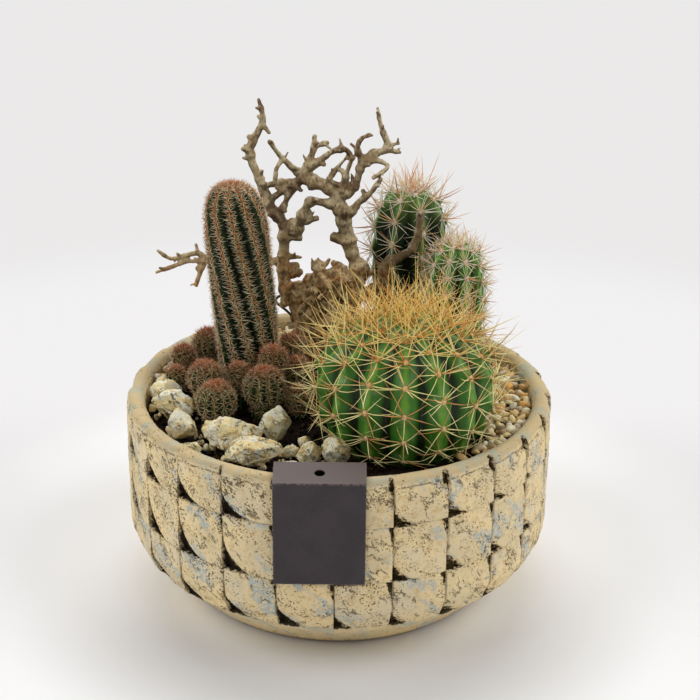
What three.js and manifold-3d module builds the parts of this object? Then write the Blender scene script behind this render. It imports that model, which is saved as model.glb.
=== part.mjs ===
// Dish garden: cacti, driftwood, stones and gravel in a round relief bowl.
// Millimetres, +Z up, origin at the centre of the bowl's underside, front towards -Y.
import * as THREE from "three";
import { mergeVertices } from "three/addons/utils/BufferGeometryUtils.js";
import Module from "manifold-3d";

const wasm = await Module();
wasm.setup();

// Bowl
const BOWL_RADIUS = 110;
const BOWL_HEIGHT = 104;
const INNER_RADIUS = 100;
const FLOOR_HEIGHT = 10;
const INNER_SIDES = 24;
const TILE_COLUMNS = 25;
const TILE_ROWS = [24, 51, 80, 102];
const FIRST_COLUMN_DEG = -90.4;
const PIT_DEPTH = 4.5;
const RECESS_DEPTH = 2.2;
const SCALLOP_DEPTH = 2;

// What fills the bowl
const GAP = 0.3;
const SOIL_TOP = 92;
const ON_SOIL = SOIL_TOP + GAP;
const ROOT_DEPTH = 18;
const GRAVEL_VALLEY = 94.2;
const GRAVEL_LOW = 97.4;
const GRAVEL_HIGH = 99.5;
const PEBBLE_CELL = 11.5;
const SPINE_CLEARANCE = 0.35;

// Label card
const CARD_LEFT = -29;
const CARD_WIDTH = 42.5;
const CARD_THICKNESS = 0.7;
const CARD_BOTTOM = 52;
const CARD_HOLE_RADIUS = 2.5;

const DEG = Math.PI / 180;
const vec = (x, y, z) => new THREE.Vector3(x, y, z);

const MATERIALS = {
  cement: { color: 0xd6c094, roughness: 0.9, metalness: 0 },
  soil: { color: 0x1c1512, roughness: 1, metalness: 0 },
  gravel: { color: 0xb7a27e, roughness: 0.9, metalness: 0 },
  barrelSkin: { color: 0x4f7d33, roughness: 0.6, metalness: 0 },
  columnSkin: { color: 0x3b4a30, roughness: 0.7, metalness: 0 },
  darkSkin: { color: 0x2c4a34, roughness: 0.6, metalness: 0 },
  brightSkin: { color: 0x47773a, roughness: 0.6, metalness: 0 },
  wood: { color: 0x7d6a51, roughness: 0.9, metalness: 0 },
  paleStone: { color: 0xd9cda6, roughness: 0.9, metalness: 0 },
  wire: { color: 0x1a1918, roughness: 0.5, metalness: 0.6 },
  card: { color: 0x3f3439, roughness: 0.8, metalness: 0 },
};

// A stream of numbers from 0 to 1 that is the same at every run
function randomFrom(seed) {
  let state = seed;
  return () => {
    state = (state + 0x6d2b79f5) | 0;
    let t = Math.imul(state ^ (state >>> 15), 1 | state);
    t = (t + Math.imul(t ^ (t >>> 7), 61 | t)) ^ t;
    return ((t ^ (t >>> 14)) >>> 0) / 4294967296;
  };
}

// A three.js geometry as a solid
function solidOf(geometry) {
  geometry.deleteAttribute("normal");
  geometry.deleteAttribute("uv");
  const merged = mergeVertices(geometry, 1e-4);
  return new wasm.Manifold(
    new wasm.Mesh({
      numProp: 3,
      vertProperties: new Float32Array(merged.attributes.position.array),
      triVerts: new Uint32Array(merged.index.array),
    }),
  );
}

function geometryOf(solid) {
  const mesh = solid.getMesh();
  return new THREE.BufferGeometry()
    .setAttribute("position", new THREE.BufferAttribute(mesh.vertProperties, 3))
    .setIndex(new THREE.BufferAttribute(mesh.triVerts, 1));
}

// The solids fused, without scraps that stand apart
function fused(solids) {
  const bodies = solids.reduce((all, next) => all.add(next)).decompose();
  return bodies.reduce((big, next) => (next.volume() > big.volume() ? next : big));
}

// A closed surface through rings of equally many points, with a fan over each end
function loft(rings, startTip, endTip) {
  const count = rings[0].length;
  const points = [startTip, ...rings.flat(), endTip];
  const last = rings.length - 1;
  const at = (ring, k) => 1 + ring * count + (k % count);
  const faces = [];
  for (let k = 0; k < count; k++) {
    faces.push(0, at(0, k + 1), at(0, k));
    for (let ring = 0; ring < last; ring++) {
      faces.push(at(ring, k), at(ring, k + 1), at(ring + 1, k + 1));
      faces.push(at(ring, k), at(ring + 1, k + 1), at(ring + 1, k));
    }
    faces.push(points.length - 1, at(last, k), at(last, k + 1));
  }
  return new THREE.BufferGeometry().setFromPoints(points).setIndex(faces);
}

// An upright drum between two heights, with its corners on the radius
function drum(x, y, radius, low, high, sides) {
  const geometry = new THREE.CylinderGeometry(radius, radius, high - low, sides);
  return geometry.rotateX(Math.PI / 2).translate(x, y, (low + high) / 2);
}

// A solid of revolution round the bowl's axis from [radius, height] points that start and end on the axis
function turned(profile) {
  const points = profile.map(([radius, height]) => new THREE.Vector2(radius, height));
  return solidOf(new THREE.LatheGeometry(points, INNER_SIDES).rotateX(Math.PI / 2));
}

// Straight lines between [x, y] pairs, read at one x
function between(pairs, x) {
  const next = pairs.findIndex((pair) => pair[0] >= x);
  if (next <= 0) return pairs[next === 0 ? 0 : pairs.length - 1][1];
  const [x0, y0] = pairs[next - 1];
  const [x1, y1] = pairs[next];
  return y0 + ((y1 - y0) * (x - x0)) / (x1 - x0);
}

const group = new THREE.Group();

function addNode(name, solid, material) {
  const mesh = new THREE.Mesh(geometryOf(solid), new THREE.MeshStandardMaterial(MATERIALS[material]));
  mesh.name = name;
  group.add(mesh);
}

// The bowl's outside without its relief, as [height, radius]
const OUTSIDE = [[0, 80], [14, 93], [24, 105], [35, 110], [BOWL_HEIGHT, 110]];
// The bowl's inside, as [height, radius]
const INSIDE = [[FLOOR_HEIGHT, 74], [16, 84], [26, 94], [36, INNER_RADIUS], [99.5, INNER_RADIUS]];

// How deep the woven relief is at a place on a tile: u runs from left to right, v upwards
function reliefDepth(u, v) {
  const pit = Math.max(0, 1 - u / 0.45 - v / 0.55);
  const recess = Math.max(0, 1 - (1 - u) / 0.35 - (1 - v) / 0.35);
  return PIT_DEPTH * Math.sqrt(pit) + RECESS_DEPTH * Math.sqrt(recess);
}

// One ring of points round the bowl; the radius is a function of u, the place across a tile
function tiledRing(height, radiusAt) {
  const ring = [];
  for (let column = 0; column < TILE_COLUMNS; column++) {
    for (const u of [0.03, 0.45, 0.97]) {
      const angle = (FIRST_COLUMN_DEG + ((column + u) * 360) / TILE_COLUMNS) * DEG;
      const radius = radiusAt(u);
      ring.push(vec(radius * Math.cos(angle), radius * Math.sin(angle), height));
    }
  }
  return ring;
}

function bowl() {
  const rings = [0, 14].map((height) => tiledRing(height, () => between(OUTSIDE, height)));
  for (let row = 0; row + 1 < TILE_ROWS.length; row++) {
    for (const v of [0.05, 0.5, 0.95]) {
      const height = TILE_ROWS[row] + (TILE_ROWS[row + 1] - TILE_ROWS[row]) * v;
      rings.push(tiledRing(height, (u) => between(OUTSIDE, height) - reliefDepth(u, v)));
    }
  }
  rings.push(tiledRing(BOWL_HEIGHT, (u) => BOWL_RADIUS - 3 - SCALLOP_DEPTH * u));
  const outer = solidOf(loft(rings, vec(0, 0, 0), vec(0, 0, BOWL_HEIGHT)));
  const hollow = [[0, FLOOR_HEIGHT], ...INSIDE.map(([z, r]) => [r, z])];
  hollow.push([INNER_RADIUS + 2.5, BOWL_HEIGHT + 1], [0, BOWL_HEIGHT + 1]);
  return outer.subtract(turned(hollow));
}

// A plain round hole for a stem, wide enough for the stem's corners
function stemHole(x, y, stemRadius, low, sides = 16) {
  const radius = (stemRadius + GAP) / Math.cos(Math.PI / sides);
  return solidOf(drum(x, y, radius, low, BOWL_HEIGHT, sides));
}

// What spines of other pieces keep clear of: swollen lines and swollen ellipsoids
const obstacles = [];

function guardLine(owner, from, to, radius) {
  obstacles.push({ owner, from, to, radius });
}

function guardEllipsoid(owner, centre, radii) {
  obstacles.push({ owner, centre, radii });
}

// The shortest distance between two straight segments
function segmentDistance(a, b, c, d) {
  const u = b.clone().sub(a);
  const v = d.clone().sub(c);
  const w = a.clone().sub(c);
  const uu = Math.max(u.dot(u), 1e-9);
  const vv = Math.max(v.dot(v), 1e-9);
  const uv = u.dot(v);
  const uw = u.dot(w);
  const vw = v.dot(w);
  const clamp = (x) => Math.min(1, Math.max(0, x));
  let s = clamp((uv * vw - vv * uw) / Math.max(uu * vv - uv * uv, 1e-9));
  const t = clamp((uv * s + vw) / vv);
  s = clamp((uv * t - uw) / uu);
  return a.clone().addScaledVector(u, s).distanceTo(c.clone().addScaledVector(v, t));
}

// The gravel's outline inside the bowl; the bowl's wall cuts what lies outside it
const GRAVEL_OUTLINE = [
  [70, -82], [54, -50], [31, -12], [-4, 26], [-14, 34], [-40, 42], [-58, 44], [-66, 50],
  [-76, 50], [-87, 38], [-91, 22], [-92, 3], [-108, 3], [-108, 108], [108, 108], [108, -82],
];

function overGravel(x, y) {
  let inside = false;
  GRAVEL_OUTLINE.forEach(([x1, y1], k) => {
    const [x2, y2] = GRAVEL_OUTLINE[(k + 1) % GRAVEL_OUTLINE.length];
    const crosses = y1 > y !== y2 > y;
    if (crosses && x < x1 + ((x2 - x1) * (y - y1)) / (y2 - y1)) inside = !inside;
  });
  return inside;
}

// Whether a spine stays clear of the ground, the bowl and every other piece
function isClear(owner, from, to, radius) {
  const margin = radius + SPINE_CLEARANCE;
  for (let step = 0; step <= 8; step++) {
    const point = from.clone().lerp(to, step / 8);
    const ground = overGravel(point.x, point.y) ? GRAVEL_HIGH : SOIL_TOP;
    if (point.z < ground + margin) return false;
    const atWall = Math.hypot(point.x, point.y) > INNER_RADIUS - 1 - margin;
    if (atWall && point.z < BOWL_HEIGHT + 1 + margin) return false;
    for (const guard of obstacles) {
      if (guard.owner === owner || !guard.centre) continue;
      const scaled = point.clone().sub(guard.centre);
      scaled.divide(guard.radii.clone().addScalar(margin));
      if (scaled.length() < 1) return false;
    }
  }
  return obstacles.every(
    (guard) =>
      guard.owner === owner ||
      !guard.from ||
      segmentDistance(from, to, guard.from, guard.to) > guard.radius + margin,
  );
}

// A three-sided spine with its root sunk into the stem
function needle(root, direction, length, radius) {
  const side = vec(0, 0, 1).cross(direction);
  if (side.length() < 0.1) side.set(1, 0, 0);
  side.normalize();
  const other = direction.clone().cross(side);
  const sink = 1.6;
  const foot = root.clone().addScaledVector(direction, -sink);
  const ring = [0, 1, 2].map((k) => {
    const angle = (k * 2 * Math.PI) / 3;
    const out = side.clone().multiplyScalar(Math.cos(angle) * radius);
    return foot.clone().add(out).addScaledVector(other, Math.sin(angle) * radius);
  });
  return solidOf(loft([ring], foot, root.clone().addScaledVector(direction, length)));
}

// Bends a spine upwards, and then shortens it, until it is clear; null where nothing helps
function clearedSpine(owner, root, direction, length, radius) {
  for (const share of [1, 0.75, 0.5]) {
    for (const lift of [0, 0.25, 0.5, 0.8, 1.2]) {
      const bent = direction.clone().add(vec(0, 0, lift)).normalize();
      const tip = root.clone().addScaledVector(bent, length * share);
      if (!isClear(owner, root, tip, radius)) continue;
      guardLine(owner, root, tip, radius);
      return needle(root, bent, length * share, radius);
    }
  }
  return null;
}

// A ribbed stem; rings are [height, crest radius, groove depth] from the root's end to the crown
function ribbedStem({ x, y, leanX = 0, rings, crown, ribs, phaseDeg, twistDeg = 0 }) {
  const radii = rings.map(([height, radius]) => [height, radius]);
  const axisAt = (z) => vec(x + leanX * Math.max(0, z - SOIL_TOP), y, z);
  const angleAt = (z, rib) => (phaseDeg - twistDeg * (z - SOIL_TOP) + (rib * 360) / ribs) * DEG;
  const loops = rings.map(([z, radius, groove]) => {
    const loop = [];
    for (let k = 0; k < 2 * ribs; k++) {
      const reach = k % 2 ? radius - groove : radius;
      const angle = angleAt(z, k / 2);
      loop.push(axisAt(z).add(vec(reach * Math.cos(angle), reach * Math.sin(angle), 0)));
    }
    return loop;
  });
  // A place on a rib's crest, with the directions out of the skin, up along the rib and sideways
  function crest(rib, z) {
    const angle = angleAt(z, rib);
    const outward = vec(Math.cos(angle), Math.sin(angle), 0);
    const slope = (between(radii, z + 1) - between(radii, z - 1)) / 2;
    const root = axisAt(z).addScaledVector(outward, between(radii, z));
    const normal = outward.clone().add(vec(0, 0, -slope)).normalize();
    const along = outward.clone().multiplyScalar(slope).add(vec(0, 0, 1)).normalize();
    return { root, normal, along, side: normal.clone().cross(along) };
  }
  const solid = solidOf(loft(loops, axisAt(rings[0][0]), axisAt(crown)));
  return { solid, crest, ribs, axisAt, crown };
}

// The spines of one stem: at each level some spines on every rib, spread round the areole
function spines(owner, stem, { seed, levels, radius, crownSpines }) {
  const draw = randomFrom(seed);
  const made = [];
  for (const { z, count, length, tiltDeg } of levels) {
    for (let rib = 0; rib < stem.ribs; rib++) {
      const { root, normal, along, side } = stem.crest(rib, z);
      for (let k = 0; k < count; k++) {
        const turn = ((k + 0.5 + 0.3 * (draw() - 0.5)) * 2 * Math.PI) / count + (rib % 2);
        const tilt = (tiltDeg + 12 * (draw() - 0.5)) * DEG;
        const sideways = side.clone().multiplyScalar(Math.cos(turn));
        sideways.addScaledVector(along, Math.sin(turn));
        const direction = normal.clone().multiplyScalar(Math.cos(tilt));
        direction.addScaledVector(sideways, Math.sin(tilt)).normalize();
        const foot = root.clone().addScaledVector(sideways, 0.8);
        foot.addScaledVector(normal, -0.4);
        made.push(clearedSpine(owner, foot, direction, length * (0.85 + 0.3 * draw()), radius));
      }
    }
  }
  const { count, length, ring } = crownSpines;
  for (let k = 0; k < count; k++) {
    const angle = ((k + 0.4 * draw()) * 2 * Math.PI) / count;
    const outward = vec(Math.cos(angle), Math.sin(angle), 0);
    const root = stem.axisAt(stem.crown - 1.5).addScaledVector(outward, ring);
    const direction = outward.multiplyScalar(0.3 + 0.4 * draw()).add(vec(0, 0, 1)).normalize();
    made.push(clearedSpine(owner, root, direction, length * (0.85 + 0.3 * draw()), radius));
  }
  return made.filter((spine) => spine !== null);
}

// Barrel cactus
const BARREL = {
  x: 32.5,
  y: -36,
  rings: [
    [SOIL_TOP - ROOT_DEPTH, 33, 0], [SOIL_TOP + 0.4, 34, 0], [99, 39.3, 2.5], [109, 43.6, 5],
    [121, 45.2, 6], [133, 43.2, 6], [143, 36, 5.5], [150, 23.5, 3.5], [153, 9, 1],
  ],
  crown: 151.5,
  ribs: 15,
  phaseDeg: -92,
};
const BARREL_SPINES = {
  seed: 11,
  radius: 0.75,
  levels: [
    { z: 104, count: 3, length: 14, tiltDeg: 45 },
    { z: 117, count: 3, length: 17, tiltDeg: 48 },
    { z: 130, count: 3, length: 18, tiltDeg: 48 },
    { z: 141, count: 3, length: 21, tiltDeg: 40 },
    { z: 148.5, count: 2, length: 20, tiltDeg: 30 },
  ],
  crownSpines: { count: 12, length: 17, ring: 8 },
};

// Column cactus, which leans a little and whose ribs wind round it
const COLUMN = {
  x: -46.6,
  y: 20,
  leanX: -0.075,
  rings: [
    [SOIL_TOP - ROOT_DEPTH, 12, 0], [SOIL_TOP + 0.4, 13, 0], [98, 15, 2.5], [125, 16.2, 3.3],
    [155, 16.2, 3.3], [185, 15.8, 3.2], [196, 13.8, 2.6], [203, 8.8, 1.4],
  ],
  crown: 205,
  ribs: 11,
  phaseDeg: -34,
  twistDeg: 0.59,
};
const COLUMN_SPINES = {
  seed: 12,
  radius: 0.5,
  levels: [
    ...[106, 126, 146, 166, 186].map((z) => ({ z, count: 2, length: 5, tiltDeg: 50 })),
    { z: 199, count: 1, length: 6, tiltDeg: 10 },
  ],
  crownSpines: { count: 6, length: 5, ring: 4 },
};

// The two cacti behind
const TALL = {
  x: 37.5,
  y: 70,
  rings: [
    [SOIL_TOP - ROOT_DEPTH, 15, 0], [GRAVEL_HIGH + 0.5, 16, 0], [107, 19.5, 3], [140, 21.8, 4.8],
    [165, 21.5, 4.8], [179, 18, 4.2], [186.5, 11, 2.2],
  ],
  crown: 188,
  ribs: 8,
  phaseDeg: -118,
};
const TALL_SPINES = {
  seed: 13,
  radius: 0.6,
  levels: [
    { z: 114, count: 1, length: 14, tiltDeg: 10 },
    { z: 131, count: 2, length: 14, tiltDeg: 50 },
    { z: 148, count: 2, length: 14, tiltDeg: 50 },
    { z: 163, count: 2, length: 15, tiltDeg: 50 },
    { z: 176, count: 2, length: 17, tiltDeg: 45 },
    { z: 183, count: 1, length: 20, tiltDeg: 10 },
  ],
  crownSpines: { count: 5, length: 18, ring: 4 },
};
const SHORT = {
  x: 61.3,
  y: 38,
  rings: [
    [SOIL_TOP - ROOT_DEPTH, 11, 0], [GRAVEL_HIGH + 0.5, 12, 0], [107, 14.8, 2], [130, 15.9, 3.4],
    [152, 15.4, 3.4], [163, 12, 2.6], [168, 6.5, 1],
  ],
  crown: 169,
  ribs: 9,
  phaseDeg: -72,
};
const SHORT_SPINES = {
  seed: 14,
  radius: 0.55,
  levels: [
    { z: 112, count: 1, length: 10, tiltDeg: 10 },
    { z: 125, count: 2, length: 10, tiltDeg: 50 },
    { z: 138, count: 2, length: 10, tiltDeg: 50 },
    { z: 151, count: 2, length: 11, tiltDeg: 45 },
    { z: 160, count: 1, length: 13, tiltDeg: 10 },
  ],
  crownSpines: { count: 5, length: 12, ring: 3 },
};

// The offsets round the column's foot, as [x, y, height of the globe's middle, radius]
const OFFSETS = [
  [-62, -22, 103, 10], [-38, -13.5, 107, 10.6], [-69, -4.5, 108, 8.8], [-52, -2.5, 110, 5.4],
  [-71, 34, 111, 8.4], [-83, 23, 108, 6.4], [-86, 11.5, 101.5, 5.6], [-34, 0.5, 117, 6.8],
  [-26, 28.5, 112, 6.8], [-22, 7, 107, 7.5], [-21, -13, 101, 6.4],
];
const NECK_SHARE = 0.65;

function offsetStem([x, y, middle, radius], index) {
  const neck = radius * NECK_SHARE;
  const groove = radius * 0.2;
  const foot = Math.max(SOIL_TOP + 0.4, middle - radius * 1.05);
  const rings = [[SOIL_TOP - ROOT_DEPTH * 0.6, neck, 0], [foot, neck, 0]];
  for (const turnDeg of [-20, 40]) {
    rings.push([middle + radius * Math.sin(turnDeg * DEG), radius * Math.cos(turnDeg * DEG), groove]);
  }
  const crown = middle + radius * 0.95;
  return ribbedStem({ x, y, rings, crown, ribs: radius > 6 ? 7 : 5, phaseDeg: 17 * index });
}

function offsetSpines([, , middle, radius], index) {
  const rows = [-0.2, 0.35].map((share) => middle + radius * share);
  return {
    seed: 30 + index,
    radius: 0.45,
    levels: rows.map((z) => ({ z, count: 1, length: 3.5, tiltDeg: 15 })),
    crownSpines: { count: 3, length: 3.5, ring: 0.3 * radius },
  };
}

// Stones on the soil, as [x, y, width, depth, height, turn in degrees]
const STONES = [
  [-90.5, -2.5, 16, 11.5, 13, 10], [-84, -19.5, 20.5, 13, 14, 25], [-77, -43.5, 14, 12, 15.5, 10],
  [-96, -11.5, 4, 3.5, 4.5, 0], [-62.5, -42.5, 11, 8.5, 10, 0], [-52, -55.5, 27, 16, 18, 10],
  [-31.5, -43, 14.5, 12, 18, 0], [-39.5, -70, 25, 14, 13, -8], [-16, -55.5, 7, 6, 9, 30],
  [-23, -61, 9.5, 7, 6.5, 0], [-13.5, -66.5, 12, 10, 10, 15], [-1, -69, 12.5, 10.5, 13, 0],
  [-21.5, -74, 11, 6, 4, 5], [-70.5, -57, 11, 6, 5, -40],
];
const LARGE_STONE_WIDTH = 11;

function stone([x, y, width, depth, height, turn], index) {
  const draw = randomFrom(50 + index);
  const shape = new THREE.IcosahedronGeometry(1, width > LARGE_STONE_WIDTH ? 1 : 0);
  shape.deleteAttribute("normal");
  shape.deleteAttribute("uv");
  const rough = mergeVertices(shape, 1e-4);
  const points = rough.attributes.position;
  for (let k = 0; k < points.count; k++) {
    const swell = 0.92 + 0.16 * draw();
    const low = Math.max(-0.55, points.getZ(k) * swell);
    points.setXYZ(k, points.getX(k) * swell, points.getY(k) * swell, low);
  }
  rough.rotateX(0.2 * (draw() - 0.5)).rotateZ(turn * DEG);
  rough.scale(width / 2, depth / 2, height / 1.4);
  // Whatever would be under the soil's surface is pressed flat onto it
  const middle = ON_SOIL + (0.45 * height) / 1.4;
  for (let k = 0; k < points.count; k++) {
    points.setXYZ(k, points.getX(k) + x, points.getY(k) + y, Math.max(ON_SOIL, points.getZ(k) + middle));
  }
  return solidOf(rough);
}

// Driftwood limbs, each a list of points and the radius at its two ends
const LIMBS = [
  { from: 4.6, to: 3.4, points: [[-29, 48, 130], [-30, 49, 140], [-31, 50, 149], [-30, 52, 173]] },
  { from: 3.8, to: 3, points: [[-30, 52, 170], [-34, 54, 178], [-39, 56, 183], [-40, 57, 190]] },
  {
    from: 3.2,
    to: 1.3,
    points: [
      [-40, 57, 186], [-43, 58, 195], [-48, 60, 207], [-48, 61, 214],
      [-42, 62, 226], [-42, 62, 232], [-44, 62, 239],
    ],
  },
  { from: 1.7, to: 1, points: [[-47, 60, 207], [-53, 59, 208]] },
  { from: 1.8, to: 1, points: [[-47, 61, 212], [-52, 62, 214]] },
  { from: 1.6, to: 1, points: [[-42, 62, 226], [-38, 60, 221]] },
  { from: 2.8, to: 2.2, points: [[-30, 50, 146], [-21, 47, 149]] },
  { from: 2.6, to: 0.9, points: [[-30, 51, 156], [-21, 52, 155]] },
  { from: 2.8, to: 2, points: [[-29, 52, 167], [-21, 50, 167]] },
  {
    from: 3.2,
    to: 2.6,
    points: [[-31, 53, 171], [-23, 50, 175], [-20, 48, 182], [-16, 47, 188], [-9, 48, 187], [-2, 50, 184]],
  },
  { from: 2.4, to: 1.6, points: [[-23, 50, 175], [-12, 47, 179]] },
  {
    from: 5,
    to: 4,
    points: [
      [6, 46, 138], [9, 46, 149], [6, 47, 159], [2, 49, 174],
      [-3, 51, 190], [-8, 52, 195], [-15, 53, 197], [-23, 54, 199],
    ],
  },
  { from: 2.6, to: 2, points: [[-21, 54, 199], [-27, 54, 191], [-31, 54, 183], [-35, 54, 178]] },
  { from: 2.6, to: 1.8, points: [[-22, 54, 198], [-29, 55, 193], [-35, 56, 188], [-41, 57, 185]] },
  { from: 2.2, to: 1.8, points: [[-25, 55, 197], [-33, 57, 195], [-42, 58, 193]] },
  { from: 3, to: 1.1, points: [[-20, 54, 199], [-27, 52, 206], [-31, 51, 210], [-38, 49, 220]] },
  { from: 1.6, to: 1.3, points: [[-31, 51, 210], [-34, 48, 205], [-35, 47, 197]] },
  { from: 3, to: 1.6, points: [[-21, 54, 200], [-18, 55, 206], [-15, 56, 213], [-14, 58, 221]] },
  { from: 1.8, to: 1.2, points: [[-14, 57, 215], [-7, 59, 217]] },
  { from: 2.4, to: 1.2, points: [[-18, 55, 203], [-4, 52, 214], [2, 52, 215], [6, 53, 209]] },
  {
    from: 3.4,
    to: 1,
    points: [
      [-3, 51, 188], [6, 49, 195], [9, 48, 203], [10, 48, 211],
      [8, 47, 217], [10, 46, 222], [15, 45, 225],
    ],
  },
  { from: 2.8, to: 1.1, points: [[9, 48, 210], [17, 48, 214], [24, 49, 217], [21, 50, 226], [18, 50, 238]] },
  { from: 1.7, to: 0.9, points: [[22, 49, 218], [30, 50, 219]] },
  { from: 1.8, to: 1, points: [[22, 49, 216], [31, 51, 214]] },
  { from: 2.2, to: 1.2, points: [[9, 48, 208], [18, 46, 211], [24, 45, 208], [16, 43, 202]] },
  { from: 2.6, to: 1.3, points: [[2, 49, 177], [8, 47, 186], [14, 46, 192], [21, 44, 202]] },
  { from: 1.5, to: 1, points: [[-7, 52, 198], [-2, 50, 206], [3, 49, 212]] },
  { from: 2, to: 1.2, points: [[0, 50, 190], [3, 47, 205], [6, 45, 213]] },
  { from: 2.8, to: 2, points: [[-31, 51, 153], [-45, 52, 152], [-60, 50, 153], [-73, 48, 154]] },
  { from: 2.2, to: 1, points: [[-70, 48, 154], [-77, 48, 158], [-91, 46, 156], [-98, 45, 161]] },
  { from: 2, to: 1, points: [[-72, 48, 154], [-82, 46, 154], [-99, 42, 149]] },
  { from: 1.7, to: 1.3, points: [[-74, 48, 153], [-78, 46, 140]] },
  {
    from: 3.4,
    to: 2.4,
    points: [
      [4, 44, 136], [14, 42, 139], [21, 41, 144], [24, 40, 156],
      [31, 40, 160], [38, 40, 165], [42, 40, 186],
    ],
  },
  { from: 3, to: 2, points: [[-29, 50, 133], [-31, 56, 127], [-32, 63, 123]] },
];
// The knobby mass that the limbs grow from, as [x, y, z, radius]
const LUMPS = [
  [-23, 49, 136, 7], [-14, 48, 142, 8.5], [-5, 47, 144, 9], [4, 46, 142, 9], [-16, 50, 124, 12],
  [-2, 49, 124, 13], [-8, 49, 112, 14], [-12, 46, 152, 4.5], [10, 46, 151, 6], [-25, 52, 172, 6],
];
const WOOD_FOOT = { x: -8, y: 49, width: 36, depth: 17 };

function limb({ points, from, to }) {
  const curve = new THREE.CatmullRomCurve3(points.map(([x, y, z]) => vec(x, y, z)));
  const sides = from > 3 ? 5 : from > 1.8 ? 4 : 3;
  const steps = points.length - 1;
  const frames = curve.computeFrenetFrames(steps, false);
  const rings = [];
  for (let step = 0; step <= steps; step++) {
    const radius = from + ((to - from) * step) / steps;
    const centre = curve.getPointAt(step / steps);
    const ring = [];
    for (let k = 0; k < sides; k++) {
      const angle = (k * 2 * Math.PI) / sides;
      const out = frames.normals[step].clone().multiplyScalar(radius * Math.cos(angle));
      out.addScaledVector(frames.binormals[step], radius * Math.sin(angle));
      ring.push(centre.clone().add(out));
    }
    rings.push(ring);
  }
  return solidOf(loft(rings, curve.getPointAt(0), curve.getPointAt(1)));
}

function lump([x, y, z, radius], index) {
  const draw = randomFrom(80 + index);
  const shape = new THREE.IcosahedronGeometry(radius, radius > 10 ? 1 : 0);
  shape.deleteAttribute("normal");
  shape.deleteAttribute("uv");
  const rough = mergeVertices(shape, 1e-3);
  const points = rough.attributes.position;
  for (let k = 0; k < points.count; k++) {
    const swell = 0.85 + 0.3 * draw();
    points.setXYZ(k, points.getX(k) * swell, points.getY(k) * swell, points.getZ(k) * swell);
  }
  return solidOf(rough.translate(x, y, z));
}

function woodFoot(grow, low, high) {
  const { x, y, width, depth } = WOOD_FOOT;
  const shape = drum(0, 0, 1, low, high, 20);
  return solidOf(shape.scale(width / 2 + grow, depth / 2 + grow, 1).translate(x, y, 0));
}

// Wire pin: a hairpin over the driftwood's root, with both ends in the ground
const PIN_RADIUS = 0.8;
const PIN_DEPTH = 12;
const PIN_POINTS = [
  [-25, 85, 80], [-25, 84, 98], [-27, 72, 115], [-28, 61, 127], [-32, 58, 131], [-36, 61, 127],
  [-29, 72, 115], [-20, 84, 98], [-20, 85, 80],
];

function wirePin() {
  const path = new THREE.CatmullRomCurve3(PIN_POINTS.map(([x, y, z]) => vec(x, y, z)));
  const section = new THREE.Shape();
  for (let k = 0; k < 5; k++) {
    const angle = (k * 2 * Math.PI) / 5;
    const move = k === 0 ? "moveTo" : "lineTo";
    section[move](PIN_RADIUS * Math.cos(angle), PIN_RADIUS * Math.sin(angle));
  }
  return solidOf(new THREE.ExtrudeGeometry(section, { steps: 20, extrudePath: path }));
}

// Grains larger than life: a jittered grid whose cells are raised to blunt stones
function pebbleRelief() {
  const draw = randomFrom(7);
  const cells = Math.ceil((2 * INNER_RADIUS) / PEBBLE_CELL) + 1;
  const start = (-cells * PEBBLE_CELL) / 2;
  const points = [];
  const faces = [];
  const add = (x, y, z) => points.push(vec(x, y, z)) - 1;
  const jitter = () => PEBBLE_CELL * 0.22 * (2 * draw() - 1);
  const corners = [];
  for (let i = 0; i <= cells; i++) {
    corners.push([]);
    for (let j = 0; j <= cells; j++) {
      const x = start + i * PEBBLE_CELL + jitter();
      corners[i].push(add(x, start + j * PEBBLE_CELL + jitter(), GRAVEL_VALLEY));
    }
  }
  const below = (index) => add(points[index].x, points[index].y, SOIL_TOP - 5);
  const floor = corners.map((row) => row.map(below));
  const quad = (a, b, c, d) => faces.push(a, b, c, a, c, d);
  for (let i = 0; i < cells; i++) {
    for (let j = 0; j < cells; j++) {
      const rim = [corners[i][j], corners[i + 1][j], corners[i + 1][j + 1], corners[i][j + 1]];
      const middle = vec(0, 0, 0);
      rim.forEach((index) => middle.addScaledVector(points[index], 0.25));
      const height = GRAVEL_LOW + (GRAVEL_HIGH - GRAVEL_LOW) * draw();
      const top = add(middle.x + jitter(), middle.y + jitter(), height);
      for (let k = 0; k < 4; k++) faces.push(rim[k], rim[(k + 1) % 4], top);
      quad(floor[i][j], floor[i][j + 1], floor[i + 1][j + 1], floor[i + 1][j]);
    }
  }
  for (let k = 0; k < cells; k++) {
    quad(floor[k][0], floor[k + 1][0], corners[k + 1][0], corners[k][0]);
    quad(floor[k + 1][cells], floor[k][cells], corners[k][cells], corners[k + 1][cells]);
    quad(floor[0][k + 1], floor[0][k], corners[0][k], corners[0][k + 1]);
    quad(floor[cells][k], floor[cells][k + 1], corners[cells][k + 1], corners[cells][k]);
  }
  return solidOf(new THREE.BufferGeometry().setFromPoints(points).setIndex(faces));
}

function pinHoles() {
  return [PIN_POINTS[0], PIN_POINTS[PIN_POINTS.length - 1]].map(([x, y]) =>
    solidOf(drum(x, y, PIN_RADIUS + 1.2, SOIL_TOP - PIN_DEPTH - 1, BOWL_HEIGHT, 8)),
  );
}

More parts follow.
